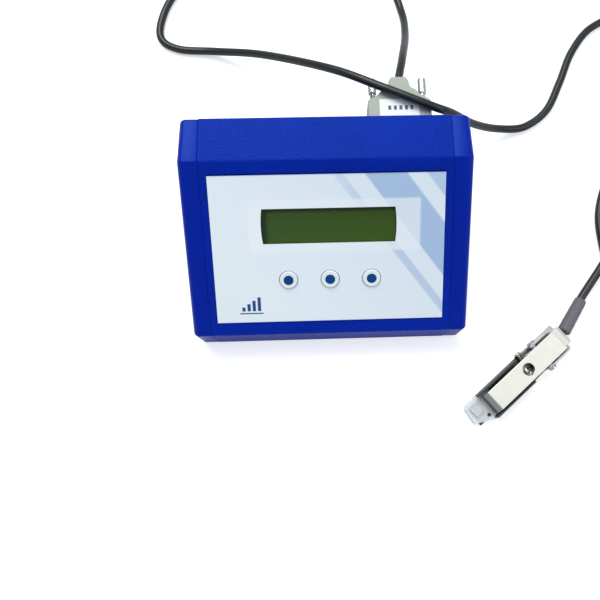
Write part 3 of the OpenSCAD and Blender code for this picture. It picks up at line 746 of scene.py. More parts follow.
@dataclass(frozen=True)
class ShadedChannel(Finish):
    """Steel channel painted dark towards the tip, as shade between the lever and the walls, and
    bright towards the gland.
    """

    bright: Colour = (0.60, 0.62, 0.60)
    turn: float = math.radians(219.6)

    def make(self) -> bpy.types.Material:
        """A mask on the distance towards the tip goes from bright to dark, broken by stains; the
        dark end is painted shade.

        Returns:
            The new material.
        """
        tree = Tree(self.name)
        x, y, _ = tree.xyz((95 * MM, -64 * MM, 0.0))
        ahead = x * math.cos(self.turn) + y * math.sin(self.turn)
        streaks = tree.noise(240.0, 4.0, 0.6, tree.stretched((0.8, 12.0, 12.0), self.turn))
        stains = tree.noise(300.0, 5.0, 0.65)
        # dark: painted shade, the shaded gaps between lever and walls shown as dark steel
        dark = (ahead + (stains - 0.5) * (8 * MM)).above(-6 * MM, 6 * MM)
        tone = (streaks * 0.6 + stains * 0.4).clamped()
        steel = tree.mix(tone, self.shade(0.7), self.shade(1.5))
        bright_end = tree.mix(tone, tuple(c * 0.6 for c in self.bright), self.bright)
        tree.bump(streaks, 0.00004, 0.35)
        return tree.dress(Base_Color=tree.mix(dark, bright_end, steel), Metallic=0.80 - dark * 0.15,
                          Roughness=0.34 + streaks * 0.10 + dark * 0.08)


@dataclass(frozen=True)
class BatterySleeve(Finish):
    """Plain printed sleeve round a battery: two colour bands and a fine seam."""

    other: Colour = (0.03, 0.03, 0.03)

    def make(self) -> bpy.types.Material:
        """The bands split along the battery's length.

        Returns:
            The new material.
        """
        tree = Tree(self.name)
        _, y, _ = tree.xyz()
        split = y.above(2 * MM, 0.2 * MM)
        ring = y.within(4 * MM, 0.6 * MM, 0.1 * MM)
        scuff = tree.noise(400.0, 4.0)
        tree.bump(scuff, 0.00003, 0.3)
        bands = tree.mix(split, self.colour, self.other)
        return tree.dress(Base_Color=tree.mix(ring, bands, (0.75, 0.72, 0.65)),
                          Metallic=0.4, Roughness=0.3 + scuff * 0.15)


class Finishes(Enum):
    """Every finish on the object, by the name of what it covers."""

    # CASE and CHEEK: the high contrast lightens the grain's high spots, a painted sparkle on top
    # of the grain's random tone
    CASE = Moulded("case_plastic", (0.0008, 0.0150, 0.350), 0.44, 1500.0, 0.00035,
                   0.35, (0.10, 0.35, 1.0), 0.42)
    CHEEK = Moulded("cheek_plastic", (0.0008, 0.0120, 0.320), 0.34, 2400.0, 0.00012,
                    0.35, (0.15, 0.40, 1.0), 0.22)
    FILM = PrintedFilm("overlay_film", (0.73, 0.81, 0.87))
    PANE = Clear("window_pane", (0.05, 0.08, 0.03), 0.04, 0.10, 0.0)
    GLASS = CharacterGlass("display_cells", (0.036, 0.088, 0.006))
    LIGHT = Moulded("light_guide", (0.45, 0.60, 0.20), 0.3, 600.0, 0.00002, 0.5)
    BEZEL = Moulded("bezel_black", (0.012, 0.014, 0.012), 0.45, 1500.0, 0.00003, 0.4)
    BOARD = Board("board_mask", (0.010, 0.090, 0.030))
    BLACK = Moulded("black_moulding", (0.016, 0.016, 0.017), 0.5, 1600.0, 0.00006, 0.4)
    RIBBON = Moulded("ribbon_sleeve", (0.40, 0.41, 0.42), 0.45, 900.0, 0.00005, 0.4)
    PAD = Sheath("pad_rubber", (0.018, 0.018, 0.019), 0.7, 0.3, 0.35)
    KEY = Moulded("key_white", (0.74, 0.79, 0.84), 0.35, 2400.0, 0.00003, 0.4)
    DOT = Moulded("key_dot", (0.0008, 0.050, 0.210), 0.4, 2400.0, 0.00003, 0.12)
    HOOD = Moulded("hood_plastic", (0.355, 0.405, 0.350), 0.48, 1700.0, 0.00007, 0.35)
    LABEL = BlankLabel("hood_label", (0.80, 0.83, 0.86))
    ZINC = Brushed("zinc_plate", (0.60, 0.61, 0.62), 0.34)
    NICKEL = Brushed("nickel_plate", (0.58, 0.60, 0.60), 0.26, math.pi / 2)
    GOLD = Brushed("gold_plate", (0.85, 0.60, 0.22), 0.25, math.pi / 2)
    CHANNEL = ShadedChannel("channel_walls", (0.055, 0.065, 0.060))
    LEVER = ShadedLever("lever_steel", (0.74, 0.73, 0.68))
    BEAM = Brushed("beam_metal", (0.62, 0.62, 0.60), 0.3, math.radians(219.6))
    GLAND = Brushed("gland_metal", (0.70, 0.72, 0.68), 0.42, math.radians(219.6), 0.35)
    # GAUGE: the strain gauge's near-black colour is painted shade, for the shade in the hole it is
    # seen through
    GAUGE = Moulded("gauge_foil", (0.030, 0.022, 0.014), 0.3, 1200.0, 0.00002, 0.5)
    SPRING = Brushed("spring_wire", (0.45, 0.45, 0.45), 0.3)
    CABLE = Sheath("cable_sheath", (0.0055, 0.0095, 0.0105), 0.34, 0.45, 0.03)
    BOOT = Sheath("boot_sleeve", (0.085, 0.083, 0.095), 0.55, 0.3, 0.10, 1.0)
    ACRYLIC = Clear("pad_acrylic", (0.84, 0.89, 0.92), 0.92, 0.16, 0.45)
    SLEEVE = BatterySleeve("battery_sleeve", (0.45, 0.28, 0.05))
    BLACKENED = Brushed("blackened_screw", (0.05, 0.05, 0.05), 0.4, 0.0, 0.6)


# ------------------------------------------------------------------ mesh tools


def finish_mesh(name: str, points: np.ndarray, faces: List,
                smooth: float = 35.0) -> bpy.types.Object:
    """Makes a closed piece and turns its faces outwards.

    Args:
        name: the piece's name.
        points: rows of X, Y, Z.
        faces: lists of point numbers, all turning the same way over the surface.
        smooth: edges sharper than this many degrees stay sharp.

    Returns:
        The object, at the origin.
    """
    mesh = bpy.data.meshes.new(name)
    mesh.from_pydata(np.asarray(points, float).tolist(), [], faces)
    mesh.validate()
    work = bmesh.new()
    work.from_mesh(mesh)
    bmesh.ops.remove_doubles(work, verts=work.verts, dist=1e-7)
    if work.calc_volume(signed=True) < 0:
        bmesh.ops.reverse_faces(work, faces=work.faces)
    work.to_mesh(mesh)
    work.free()
    mesh.shade_smooth()
    mesh.set_sharp_from_angle(angle=math.radians(smooth))
    piece = bpy.data.objects.new(name, mesh)
    bpy.context.scene.collection.objects.link(piece)
    return piece


def ring_faces(rings: int, around: int, start: int = 0, caps: bool = True) -> List:
    """Quads between neighbouring closed rings, with a face over each end.

    Args:
        rings: how many rings.
        around: points on each ring.
        start: number of the first ring's first point.
        caps: whether the two ends are closed.

    Returns:
        The faces as lists of point numbers.
    """
    ring, place = np.meshgrid(np.arange(rings - 1), np.arange(around), indexing="ij")
    after = (place + 1) % around
    quads = np.stack([ring * around + place, ring * around + after,
                      (ring + 1) * around + after, (ring + 1) * around + place], -1)
    faces = (quads.reshape(-1, 4) + start).tolist()
    if caps:
        faces.append((np.arange(around)[::-1] + start).tolist())
        faces.append((np.arange(around) + (rings - 1) * around + start).tolist())
    return faces


def ring_piece(name: str, rings: np.ndarray, smooth: float = 35.0) -> bpy.types.Object:
    """Closed piece skinned over an array of rings, (rings, around, 3).

    Args:
        name: the object's name.
        rings: the points.
        smooth: angle in degrees below which edges look smooth.

    Returns:
        The new object.
    """
    count, around = rings.shape[:2]
    return finish_mesh(name, rings.reshape(-1, 3), ring_faces(count, around), smooth)


def turned_rings(radii: np.ndarray, along: np.ndarray, origin: Point, axis: Point) -> np.ndarray:
    """Rings of a turned body.

    The point at step i and angle a is origin + along[i] * axis + radii[i, a] * (side *
    cos a + up * sin a), where side and up are at right angles to axis.

    Args:
        radii: (steps, around) distances from the axis.
        along: (steps,) or (steps, around) distances along it.
        origin: where along is 0.
        axis: the axis's direction.

    Returns:
        (steps, around, 3) points.
    """
    w = np.array(axis, float) / np.linalg.norm(axis)
    side = np.cross(w, (0.0, 0.0, 1.0) if abs(w[2]) < 0.9 else (1.0, 0.0, 0.0))
    side /= np.linalg.norm(side)
    up = np.cross(w, side)
    angle = np.linspace(0, TAU, radii.shape[1], endpoint=False)
    along = np.broadcast_to(np.asarray(along, float).reshape(len(radii), -1), radii.shape)
    spoke = side * np.cos(angle)[:, None] + up * np.sin(angle)[:, None]
    return np.array(origin) + along[..., None] * w + radii[..., None] * spoke


def turned(profile: Sequence[Tuple[float, float]],
           around: int = 48) -> Tuple[np.ndarray, np.ndarray]:
    """Radii and distances of a plain turned body from (distance, radius) pairs.

    Args:
        profile: pairs from one end to the other.
        around: points on each ring.

    Returns:
        Radii by ring and angle, and the rings' distances.
    """
    pairs = np.array(profile, float)
    return np.repeat(pairs[:, 1:2], around, 1), pairs[:, 0]


def softened(node: str, width: float, segments: int = 2, smooth: float = 32.0,
             strong: Optional[Callable[[bmesh.types.BMEdge], bool]] = None,
             weak: float = 0.3) -> bpy.types.Object:
    """Copy of a CAD node with its flat faces joined and its sharp edges eased.

    Args:
        node: the CAD node that the piece stands for.
        width: the bevel's width on the strongest edges.
        segments: steps across the bevel.
        smooth: edges sharper than this many degrees are bevelled.
        strong: picks the edges that get the whole width; the rest get a share of it.
        weak: that share.

    Returns:
        The new piece, which replaces the node.
    """
    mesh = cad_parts[node].data.copy()
    mesh.name = node + "_shape"
    work = bmesh.new()
    work.from_mesh(mesh)
    bmesh.ops.remove_doubles(work, verts=work.verts, dist=1e-6)
    bmesh.ops.dissolve_limit(work, angle_limit=math.radians(1.0), verts=work.verts,
                             edges=work.edges)
    layer = work.edges.layers.float.new("bevel_weight_edge")
    for edge in work.edges:
        sharp = len(edge.link_faces) == 2 and edge.calc_face_angle(0.0) > math.radians(smooth)
        edge[layer] = (1.0 if strong is None or strong(edge) else weak) if sharp else 0.0
    work.to_mesh(mesh)
    work.free()
    mesh.shade_smooth()
    mesh.set_sharp_from_angle(angle=math.radians(smooth))
    mesh.materials.clear()
    piece = bpy.data.objects.new(node + "_piece", mesh)
    bpy.context.scene.collection.objects.link(piece)
    bevel = piece.modifiers.new("eased_edges", "BEVEL")
    bevel.width, bevel.segments = width, segments
    bevel.limit_method, bevel.use_clamp_overlap = "WEIGHT", False
    bevel.miter_outer = "MITER_ARC"
    bevel.harden_normals = False
    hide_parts(node)
    return piece


class Drive(Enum):
    """How a screw is driven."""

    CROSS = "cross"
    SLOT = "slot"
    HEX = "hex"
    PLAIN = "plain"


@dataclass
class Screw:
    """A screw: its head's outer face lies at the origin and its shaft runs along axis."""

    origin: Point
    axis: Point
    head_r: float
    head_h: float
    shaft_r: float
    length: float
    drive: Drive = Drive.CROSS
    dome: float = 0.25

    def rings(self, around: int = 48) -> np.ndarray:
        """Rings from the middle of the head's face, over its rim and down the shaft.

        The face's depth is a dome, dome * head_h * (r / head_r) squared, plus the recess:
        full inside the driver's outline and nothing outside.

        Args:
            around: points on each ring.

        Returns:
            The rings' points.
        """
        share = np.array([0.02, 0.12, 0.2, 0.3, 0.4, 0.5, 0.6, 0.68, 0.76, 0.86, 0.94])
        radius = np.repeat((share * self.head_r)[:, None], around, 1)
        angle = np.linspace(0, TAU, around, endpoint=False)[None, :]
        sx, sy = radius * np.cos(angle), radius * np.sin(angle)
        half = self.head_r * 0.15
        slot = np.clip((half * 1.3 - np.abs(sy)) / (half * 0.6), 0, 1)
        other = np.clip((half * 1.3 - np.abs(sx)) / (half * 0.6), 0, 1)
        inner = np.clip((self.head_r * 0.68 - radius) / (self.head_r * 0.08), 0, 1)
        recess = {Drive.CROSS: np.maximum(slot, other) * inner, Drive.SLOT: slot,
                  Drive.HEX: np.clip((self.head_r * 0.5 - radius) / (self.head_r * 0.08), 0, 1),
                  Drive.PLAIN: slot * 0}[self.drive]
        depth = self.dome * self.head_h * (radius / self.head_r) ** 2 + recess * self.head_h * 0.45
        edge = [(self.dome * self.head_h * 1.15, 0.985), (self.head_h * 0.55, 1.0),
                (self.head_h * 0.95, 1.0), (self.head_h, 0.97)]
        rows = [(d, r * self.head_r) for d, r in edge]
        rows += [(self.head_h, self.shaft_r), (self.head_h + self.length * 0.92, self.shaft_r),
                 (self.head_h + self.length, self.shaft_r * 0.7)]
        more_r, more_d = turned(rows, around)
        radii = np.vstack([radius, more_r])
        along = np.vstack([depth, np.repeat(more_d[:, None], around, 1)])
        return turned_rings(radii, along, self.origin, self.axis)


def screw_set(name: str, screws: Sequence[Screw]) -> bpy.types.Object:
    """One piece that holds a set of like screws.

    Args:
        name: the object's name.
        screws: the screws.

    Returns:
        The new object.
    """
    sets = [s.rings() for s in screws]
    count, around = sets[0].shape[:2]
    faces: List = []
    for i in range(len(sets)):
        faces += ring_faces(count, around, i * count * around)
    return finish_mesh(name, np.vstack([s.reshape(-1, 3) for s in sets]), faces, 40.0)


def smooth_path(route: np.ndarray, floor: float, per_span: int = 24) -> np.ndarray:
    """Curve through a route's points.

    Between points b and c, with a before and d after, it is half of 2b + (c - a) t + (2a -
    5b + 4c - d) t squared + (3b - a - 3c + d) t cubed, and never under floor.

    Args:
        route: (n, 3) points.
        floor: lowest height of the curve.
        per_span: points per stretch.

    Returns:
        The curve's points, the last one included.
    """
    a = np.vstack([route[:1], route[:-2]])[:, None]
    b, c = route[:-1][:, None], route[1:][:, None]
    d = np.vstack([route[2:], route[-1:]])[:, None]
    t = np.linspace(0, 1, per_span, endpoint=False)[None, :, None]
    curve = 0.5 * (2 * b + (c - a) * t + (2 * a - 5 * b + 4 * c - d) * t ** 2
                   + (3 * b - a - 3 * c + d) * t ** 3)
    curve = np.vstack([curve.reshape(-1, 3), route[-1:]])
    curve[:, 2] = np.maximum(curve[:, 2], floor)
    return curve


def resampled(curve: np.ndarray, step: float) -> np.ndarray:
    """The curve's points again, step apart along it.

    Args:
        curve: (n, 3) points.
        step: distance between the new points.

    Returns:
        (m, 3) points.
    """
    lengths = np.concatenate([[0], np.cumsum(np.linalg.norm(np.diff(curve, axis=0), axis=1))])
    at = np.linspace(0, lengths[-1], int(lengths[-1] / step) + 1)
    return np.stack([np.interp(at, lengths, curve[:, k]) for k in range(3)], -1)


def tube_rings(path: np.ndarray, radii: np.ndarray, around: int) -> np.ndarray:
    """Rings of a round tube: at each path point, radius * (side cos a + up sin a).

    Args:
        path: centre line.
        radii: radius at each of its points.
        around: points on each ring.

    Returns:
        The rings' points.
    """
    heading = np.gradient(path, axis=0)
    heading /= np.linalg.norm(heading, axis=1, keepdims=True)
    side = np.cross(heading, (0.0, 0.0, 1.0))
    side /= np.linalg.norm(side, axis=1, keepdims=True)
    up = np.cross(side, heading)
    angle = np.linspace(0, TAU, around, endpoint=False)
    spoke = (side[:, None] * np.cos(angle)[None, :, None]
             + up[:, None] * np.sin(angle)[None, :, None])
    return path[:, None] + radii[:, None, None] * spoke


def place_piece(piece: bpy.types.Object, finish: Finishes, slot: str, body: str = CONSOLE,
                *replaced: str) -> bpy.types.Object:
    """Dresses a piece, hangs it on its body and reports it.

    Args:
        piece: the new piece.
        finish: its finish.
        slot: name of the record's material slot; not used.
        body: the body that it moves with.
        replaced: CAD nodes that it stands for.

    Returns:
        The same piece.
    """
    piece.data.materials.clear()
    piece.data.materials.append(finish.value.material())
    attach(piece, body)
    if replaced:
        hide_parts(*replaced)
    LOG.info("made %s with %d points, finish %s", piece.name, len(piece.data.vertices),
             finish.name)
    return piece


def dress_node(node: str, finish: Finishes) -> None:
    """Gives a CAD node that keeps its shape its finish.

    Args:
        node: the node's name.
        finish: its finish.
    """
    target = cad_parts[node]
    if not target.material_slots:
        target.data.materials.append(None)
    for holder in target.material_slots:
        holder.material = finish.value.material()
    LOG.info("dressed %s, finish %s", node, finish.name)


# --------------------------------------------------------------- sub-assemblies


@dataclass
class Studio:
    """Camera, soft lamps, pale floor and white surround."""

    eye: Point = (0.00058, -0.09084, 0.32908)
    tilt: Point = (14.49, -1.57, -1.84)
    lens: float = 39.39
    shift: Tuple[float, float] = (-0.0886, -0.0608)
    floor_size: float = 3.0
    fill: float = 0.56

    def camera(self) -> None:
        """Sets the camera at the viewing angle."""
        data = bpy.data.cameras.new("viewer")
        data.sensor_width, data.lens = 36.0, self.lens
        data.shift_x, data.shift_y = self.shift
        data.clip_start, data.clip_end = 0.01, 20.0
        item = bpy.data.objects.new("viewer", data)
        item.location = self.eye
        item.rotation_euler = tuple(math.radians(a) for a in self.tilt)
        bpy.context.scene.collection.objects.link(item)
        bpy.context.scene.camera = item
        bpy.context.scene.view_settings.view_transform = "Standard"
        LOG.info("camera set")

    def lamp(self, name: str, at: Point, size: float, power: float, tint: Colour) -> None:
        """Adds a square soft lamp that faces the console.

        Args:
            name: the lamp's name.
            at: its place.
            size: side of its square.
            power: watts.
            tint: its colour.
        """
        data = bpy.data.lights.new(name, "AREA")
        data.shape, data.size, data.energy, data.color = "SQUARE", size, power, tint
        item = bpy.data.objects.new(name, data)
        item.location = at
        away = np.array(at) - np.array((0.02, 0.0, 0.0))
        yaw = math.atan2(away[0], -away[1])
        lean = math.atan2(math.hypot(away[0], away[1]), away[2])
        item.rotation_euler = (lean, 0.0, yaw)
        bpy.context.scene.collection.objects.link(item)

    def build(self) -> None:
        """Adds the lamps, the floor and the white surround."""
        self.lamp("key_lamp", (-0.25, 0.75, 1.25), 0.9, 17.0, (1.0, 0.99, 0.97))
        self.lamp("side_lamp", (0.9, -0.2, 1.0), 0.9, 4.0, (0.95, 0.98, 1.0))
        grid = np.array([[-1, -1, 0], [1, -1, 0], [1, 1, 0], [-1, 1, 0]]) * self.floor_size / 2
        grid = grid - np.array([0, 0, 0.0002])
        mesh = bpy.data.meshes.new("floor")
        mesh.from_pydata(grid.tolist(), [], [[0, 1, 2, 3]])
        floor = bpy.data.objects.new("floor", mesh)
        bpy.context.scene.collection.objects.link(floor)
        tree = Tree("floor_white")
        seen = tree.node("LightPath")
        views = Num(tree, seen.outputs["Is Camera Ray"]).most(
            Num(tree, seen.outputs["Is Transmission Ray"]))
        cloud = tree.noise(3.0, 2.0)
        glow = tree.node("Emission", inputs={"Color": (1.0, 1.0, 1.0), "Strength": 0.45})
        plain = tree.node("BsdfDiffuse", inputs={
            "Color": tree.mix(cloud, (0.80, 0.82, 0.86), (0.82, 0.84, 0.87))})
        both = tree.node("AddShader", inputs={0: plain.outputs[0], 1: glow.outputs[0]})
        out = tree.node("MixShader", inputs={0: views, 1: plain.outputs[0], 2: both.outputs[0]})
        tree.links.new(out.outputs[0], tree.output.inputs["Surface"])
        mesh.materials.append(tree.material)
        world = bpy.data.worlds.new("surround")
        bpy.context.scene.world = world
        world.use_nodes = True
        web = Nodes(world.node_tree)
        seen = web.node("LightPath")
        views = Num(web, seen.outputs["Is Camera Ray"]).most(
            Num(web, seen.outputs["Is Transmission Ray"]))
        soft = web.node("Background", inputs={0: (0.96, 0.98, 1.0), 1: self.fill})
        white = web.node("Background", inputs={0: (1.0, 1.0, 1.0), 1: 1.0})
        pick = web.node("MixShader", inputs={0: views, 1: soft.outputs[0], 2: white.outputs[0]})
        web.node("OutputWorld", inputs={0: pick.outputs[0]})
        LOG.info("studio built")


@dataclass
class Lead:
    """The free lead from the plug's hood, through its stored coil, to the sensor's sleeve."""

    diameter: float = 4.2 * MM
    exit: Point = (36.8 * MM, 77.5 * MM, 33.5 * MM)
    coil_centre: Point = (175 * MM, -7.6 * MM, 2.1 * MM)
    coil_radius: float = 22 * MM
    coil_rise: float = 4.3 * MM
    turns: float = 3.5
    length: float = 1.36
    sleeve_from: Point = (-28.5 * MM, -0.7 * MM, 4.6 * MM)
    sleeve_to: Point = (-47.5 * MM, -6 * MM, 3.3 * MM)

    @staticmethod
    def main_route() -> np.ndarray:
        """Points of the lead from inside the hood to the coil.

        Returns:
            (n, 3) points in metres.
        """
        return MM * np.array([
            (36.8, 62, 33.5), (36.8, 78, 33.5), (40.3, 96, 27.2), (44.6, 120, 11.8),
            (44.6, 141, 2.6), (37, 163, 2.1), (20, 180, 2.1), (-8, 188.7, 2.1),
            (-38, 186.5, 2.1), (-66, 174, 2.1), (-84, 155, 2.1), (-91, 138, 2.1),
            (-90.6, 125.4, 2.1), (-80.5, 119, 2.1), (-60, 116.2, 4), (-32.5, 106.5, 15.5),
            (3, 85, 36.5), (26.6, 71, 43.4), (50.5, 60.2, 43.6), (61.5, 59.6, 37),
            (76, 61.4, 21), (92, 65, 7.4), (108.5, 68.3, 2.1), (121.7, 78, 2.1),
            (131, 95, 2.1), (140, 114, 2.1), (153, 129.4, 2.1), (171, 135.5, 2.1),
            (188, 122, 2.1), (184, 94, 2.1), (164, 60, 2.1), (146.5, 27.5, 2.1),
            (143, 5, 2.1), (149, -17.5, 2.1), (175, -29.6, 2.1)])

    @staticmethod
    def tail_route() -> np.ndarray:
        """Points of the lead from the coil to the sensor's sleeve, the last one inside it.

        Returns:
            (n, 3) points in metres.
        """
        return MM * np.array([(175, 14.6, 17.2), (160, 11, 14.2), (148.5, 0, 9.2),
                              (138, -14.6, 5.4), (127.8, -28.4, 3.3), (126.1, -31.6, 3.5)])

    def path(self) -> np.ndarray:
        """The lead's whole centre line: both routes with the coil's helix between them.

        Returns:
            (n, 3) points in metres.
        """
        main = smooth_path(self.main_route(), self.diameter / 2)
        main = main[np.argmax(main[:, 1] >= self.exit[1] - 4 * MM):]
        angle = np.linspace(0, self.turns * TAU, int(self.turns * 60) + 1)
        helix = np.stack([self.coil_centre[0] + self.coil_radius * np.sin(angle),
                          self.coil_centre[1] - self.coil_radius * np.cos(angle),
                          self.coil_centre[2] + self.coil_rise * angle / TAU], -1)
        tail = smooth_path(self.tail_route(), self.diameter / 2)
        return resampled(np.vstack([main[:-1], helix, tail[1:]]), 1.25 * MM)

    def build(self) -> bpy.types.Object:
        """Makes the lead's tube.

        Returns:
            The new object.
        """
        path = self.path()
        radii = np.full(len(path), self.diameter / 2)
        piece = ring_piece("sensor_lead", tube_rings(path, radii, 16), 60.0)
        return place_piece(piece, Finishes.CABLE, "cable_black", CONSOLE,
                           "cable_main", "cable_coil", "cable_tail")

    def declare(self, carried: List[bpy.types.Object]) -> None:
        """Args:
            carried: the plug's pieces, which are only counted.
        """
        self.path().tolist()
        LOG.info("declared the lead with %d pieces on it", len(carried))

    def sleeve(self, sensor: "PinchSensor") -> bpy.types.Object:
        """Makes the shrink sleeve: a taper with soft waves where it has shrunk down.

        Args:
            sensor: the sensor, whose frame the sleeve's ends are given in.

        Returns:
            The new object.
        """
        start, end = sensor.world(self.sleeve_from), sensor.world(self.sleeve_to)
        axis = end - start
        length = float(np.linalg.norm(axis))
        t = np.linspace(0, 1, 60)
        angle = np.linspace(0, TAU, 40, endpoint=False)
        base = (3.38 - 0.30 * t) * MM
        waves = 0.03 * MM * np.sin(31 * t)[:, None] * (1 + 0.5 * np.cos(2 * angle))[None, :]
        ends = np.minimum(np.minimum(t, 1 - t) / 0.03, 1) ** 0.5
        radii = (base[:, None] - 0.08 * MM + waves) * (0.86 + 0.14 * ends)[:, None]
        rings = turned_rings(radii, t * length, tuple(start), tuple(axis))
        piece = ring_piece("lead_sleeve", rings, 50.0)
        return place_piece(piece, Finishes.BOOT, "boot_rubber", CONSOLE, "cable_boot")


@dataclass
class ConsoleCase:
    """Cover, tray, end cheeks, pads and case screws."""

    half_width: float = 56 * MM
    depth: float = 90 * MM
    front_h: float = 20.7 * MM
    slope_len: float = 82 * MM
    angle: float = math.radians(32)
    cheek: float = 9.39 * MM
    bow: float = 1.1 * MM
    rounding: float = 2.6 * MM
    wall: float = 2.5 * MM

    def outline(self, inset: float, radius: float = 1.4 * MM, steps: int = 7) -> np.ndarray:
        """The case's side outline, inset on every side, with rounded corners.

        Each corner becomes an arc that touches both of its sides: its centre lies on the
        corner's bisector and its points turn evenly from one side's normal to the next.

        Args:
            inset: how far the outline is moved inwards.
            radius: the corners' radius at no inset.
            steps: points on each corner.

        Returns:
            (5 * steps, 2) points of Y and Z.
        """
        tan, cos = math.tan(self.angle), math.cos(self.angle)
        front, rear = -self.depth / 2, self.depth / 2
        top = self.front_h + self.slope_len * math.sin(self.angle)
        corners = np.array([
            (front + inset, inset), (rear - inset, inset), (rear - inset, top - inset),
            (front + (top - inset - self.front_h + inset / cos) / tan, top - inset),
            (front + inset, self.front_h + inset * tan - inset / cos)])
        before = corners - np.roll(corners, 1, axis=0)
        after = np.roll(corners, -1, axis=0) - corners
        before /= np.linalg.norm(before, axis=1, keepdims=True)
        after /= np.linalg.norm(after, axis=1, keepdims=True)
        r = max(radius - inset, 0.3 * MM)
        start = np.arctan2(before[:, 1], before[:, 0]) - math.pi / 2
        turn = np.arctan2(before[:, 0] * after[:, 1] - before[:, 1] * after[:, 0],
                          (before * after).sum(1))
        reach = r / np.cos(turn / 2)
        inward = after - before
        inward /= np.linalg.norm(inward, axis=1, keepdims=True)
        centre = corners + inward * reach[:, None]
        sweep = start[:, None] + turn[:, None] * np.linspace(0, 1, steps)[None, :]
        arcs = centre[:, None] + r * np.stack([np.cos(sweep), np.sin(sweep)], -1)
        return arcs.reshape(-1, 2)

    def cheek_shape(self, side: int) -> bpy.types.Object:
        """One hollow end cheek, skinned over insets of the case's outline.

        The rings run from the hollow's floor, out along the rim, over the seam's chamfer
        and round the outer edge, whose inset is rounding * (1 - cos a). The side bows out:
        towards both ends each ring moves in by bow * (2 y / depth) squared, the seam not.

        Args:
            side: -1 for the left cheek and 1 for the right.

        Returns:
            The new object.
        """
        rim = self.wall + 0.15 * MM
        turn = np.linspace(0, math.pi / 2, 9)
        rows = [(self.cheek - self.wall - self.bow, rim + 1.5 * MM), (-3 * MM, rim + 1.5 * MM),
                (-3 * MM, rim), (0.0, rim), (0.0, 0.45 * MM), (0.16 * MM, 0.16 * MM),
                (0.5 * MM, 0.02 * MM)]
        rows += list(zip(self.cheek - self.rounding + self.rounding * np.sin(turn),
                         0.02 * MM + self.rounding * (1 - np.cos(turn))))
        rings = []
        for row, (along, inset) in enumerate(rows):
            ring = self.outline(inset)
            moved = self.bow * (2 * ring[:, 0] / self.depth) ** 2 if row > 6 else 0.0
            x = side * (self.half_width + along - moved) + 0.0 * ring[:, 0]
            rings.append(np.stack([x, ring[:, 0], ring[:, 1]], -1))
        name = "left" if side < 0 else "right"
        piece = ring_piece(f"{name}_cheek_piece", np.array(rings), 28.0)
        return place_piece(piece, Finishes.CHEEK, "cheek_blue", CONSOLE, f"{name}_cheek")

    def build(self) -> None:
        """Makes the case's pieces."""
        def long_corner(edge: bmesh.types.BMEdge) -> bool:
            """Whether an edge runs along the cover's width.

            Args:
                edge: the edge.

            Returns:
                True for a long one.
            """
            a, b = (v.co for v in edge.verts)
            return abs(a.x - b.x) > 0.1

        cover = softened("top_cover", 0.7 * MM, 3, 25.0, long_corner, 0.3)
        place_piece(cover, Finishes.CASE, "case_blue")
        tray = softened("base_tray", 0.25 * MM, 2)
        place_piece(tray, Finishes.CASE, "case_blue")
        lid = softened("battery_lid", 0.15 * MM, 2)
        place_piece(lid, Finishes.CASE, "case_blue")
        for side in (-1, 1):
            self.cheek_shape(side)
        up = (0.0, 0.0, 1.0)
        spots = [(i * 51 * MM, j * 28 * MM, 0.1 * MM) for i in (-1, 1) for j in (-1, 1)]
        screws = [Screw(p, up, 2.8 * MM, 1.4 * MM, 1.5 * MM, 8.5 * MM) for p in spots]
        place_piece(screw_set("case_screw_set", screws), Finishes.ZINC, "zinc", CONSOLE,
                    "case_screws")
        lid_screw = Screw((-32.75 * MM, -16.5 * MM, 0.1 * MM), up, 2.2 * MM, 0.5 * MM,
                          1.2 * MM, 4.4 * MM)
        place_piece(screw_set("lid_screw", [lid_screw]), Finishes.ZINC, "zinc", CONSOLE,
                    "battery_lid_screw")
        rows = [(0.0, 0.1), (0.0, 3.1), (0.05, 3.4), (0.3, 3.5), (0.95, 3.5), (0.95, 0.1)]
        radii, along = turned([(d * MM, r * MM) for d, r in rows], 40)
        pads = [turned_rings(radii, along, (i * 52 * MM, j * 38 * MM, 0.0), up)
                for i in (-1, 1) for j in (-1, 1)]
        faces: List = []
        for i in range(4):
            faces += ring_faces(len(rows), 40, i * len(rows) * 40)
        pad_set = finish_mesh("base_pad_set", np.vstack([p.reshape(-1, 3) for p in pads]), faces)
        place_piece(pad_set, Finishes.PAD, "pad_rubber", CONSOLE, "base_pads")


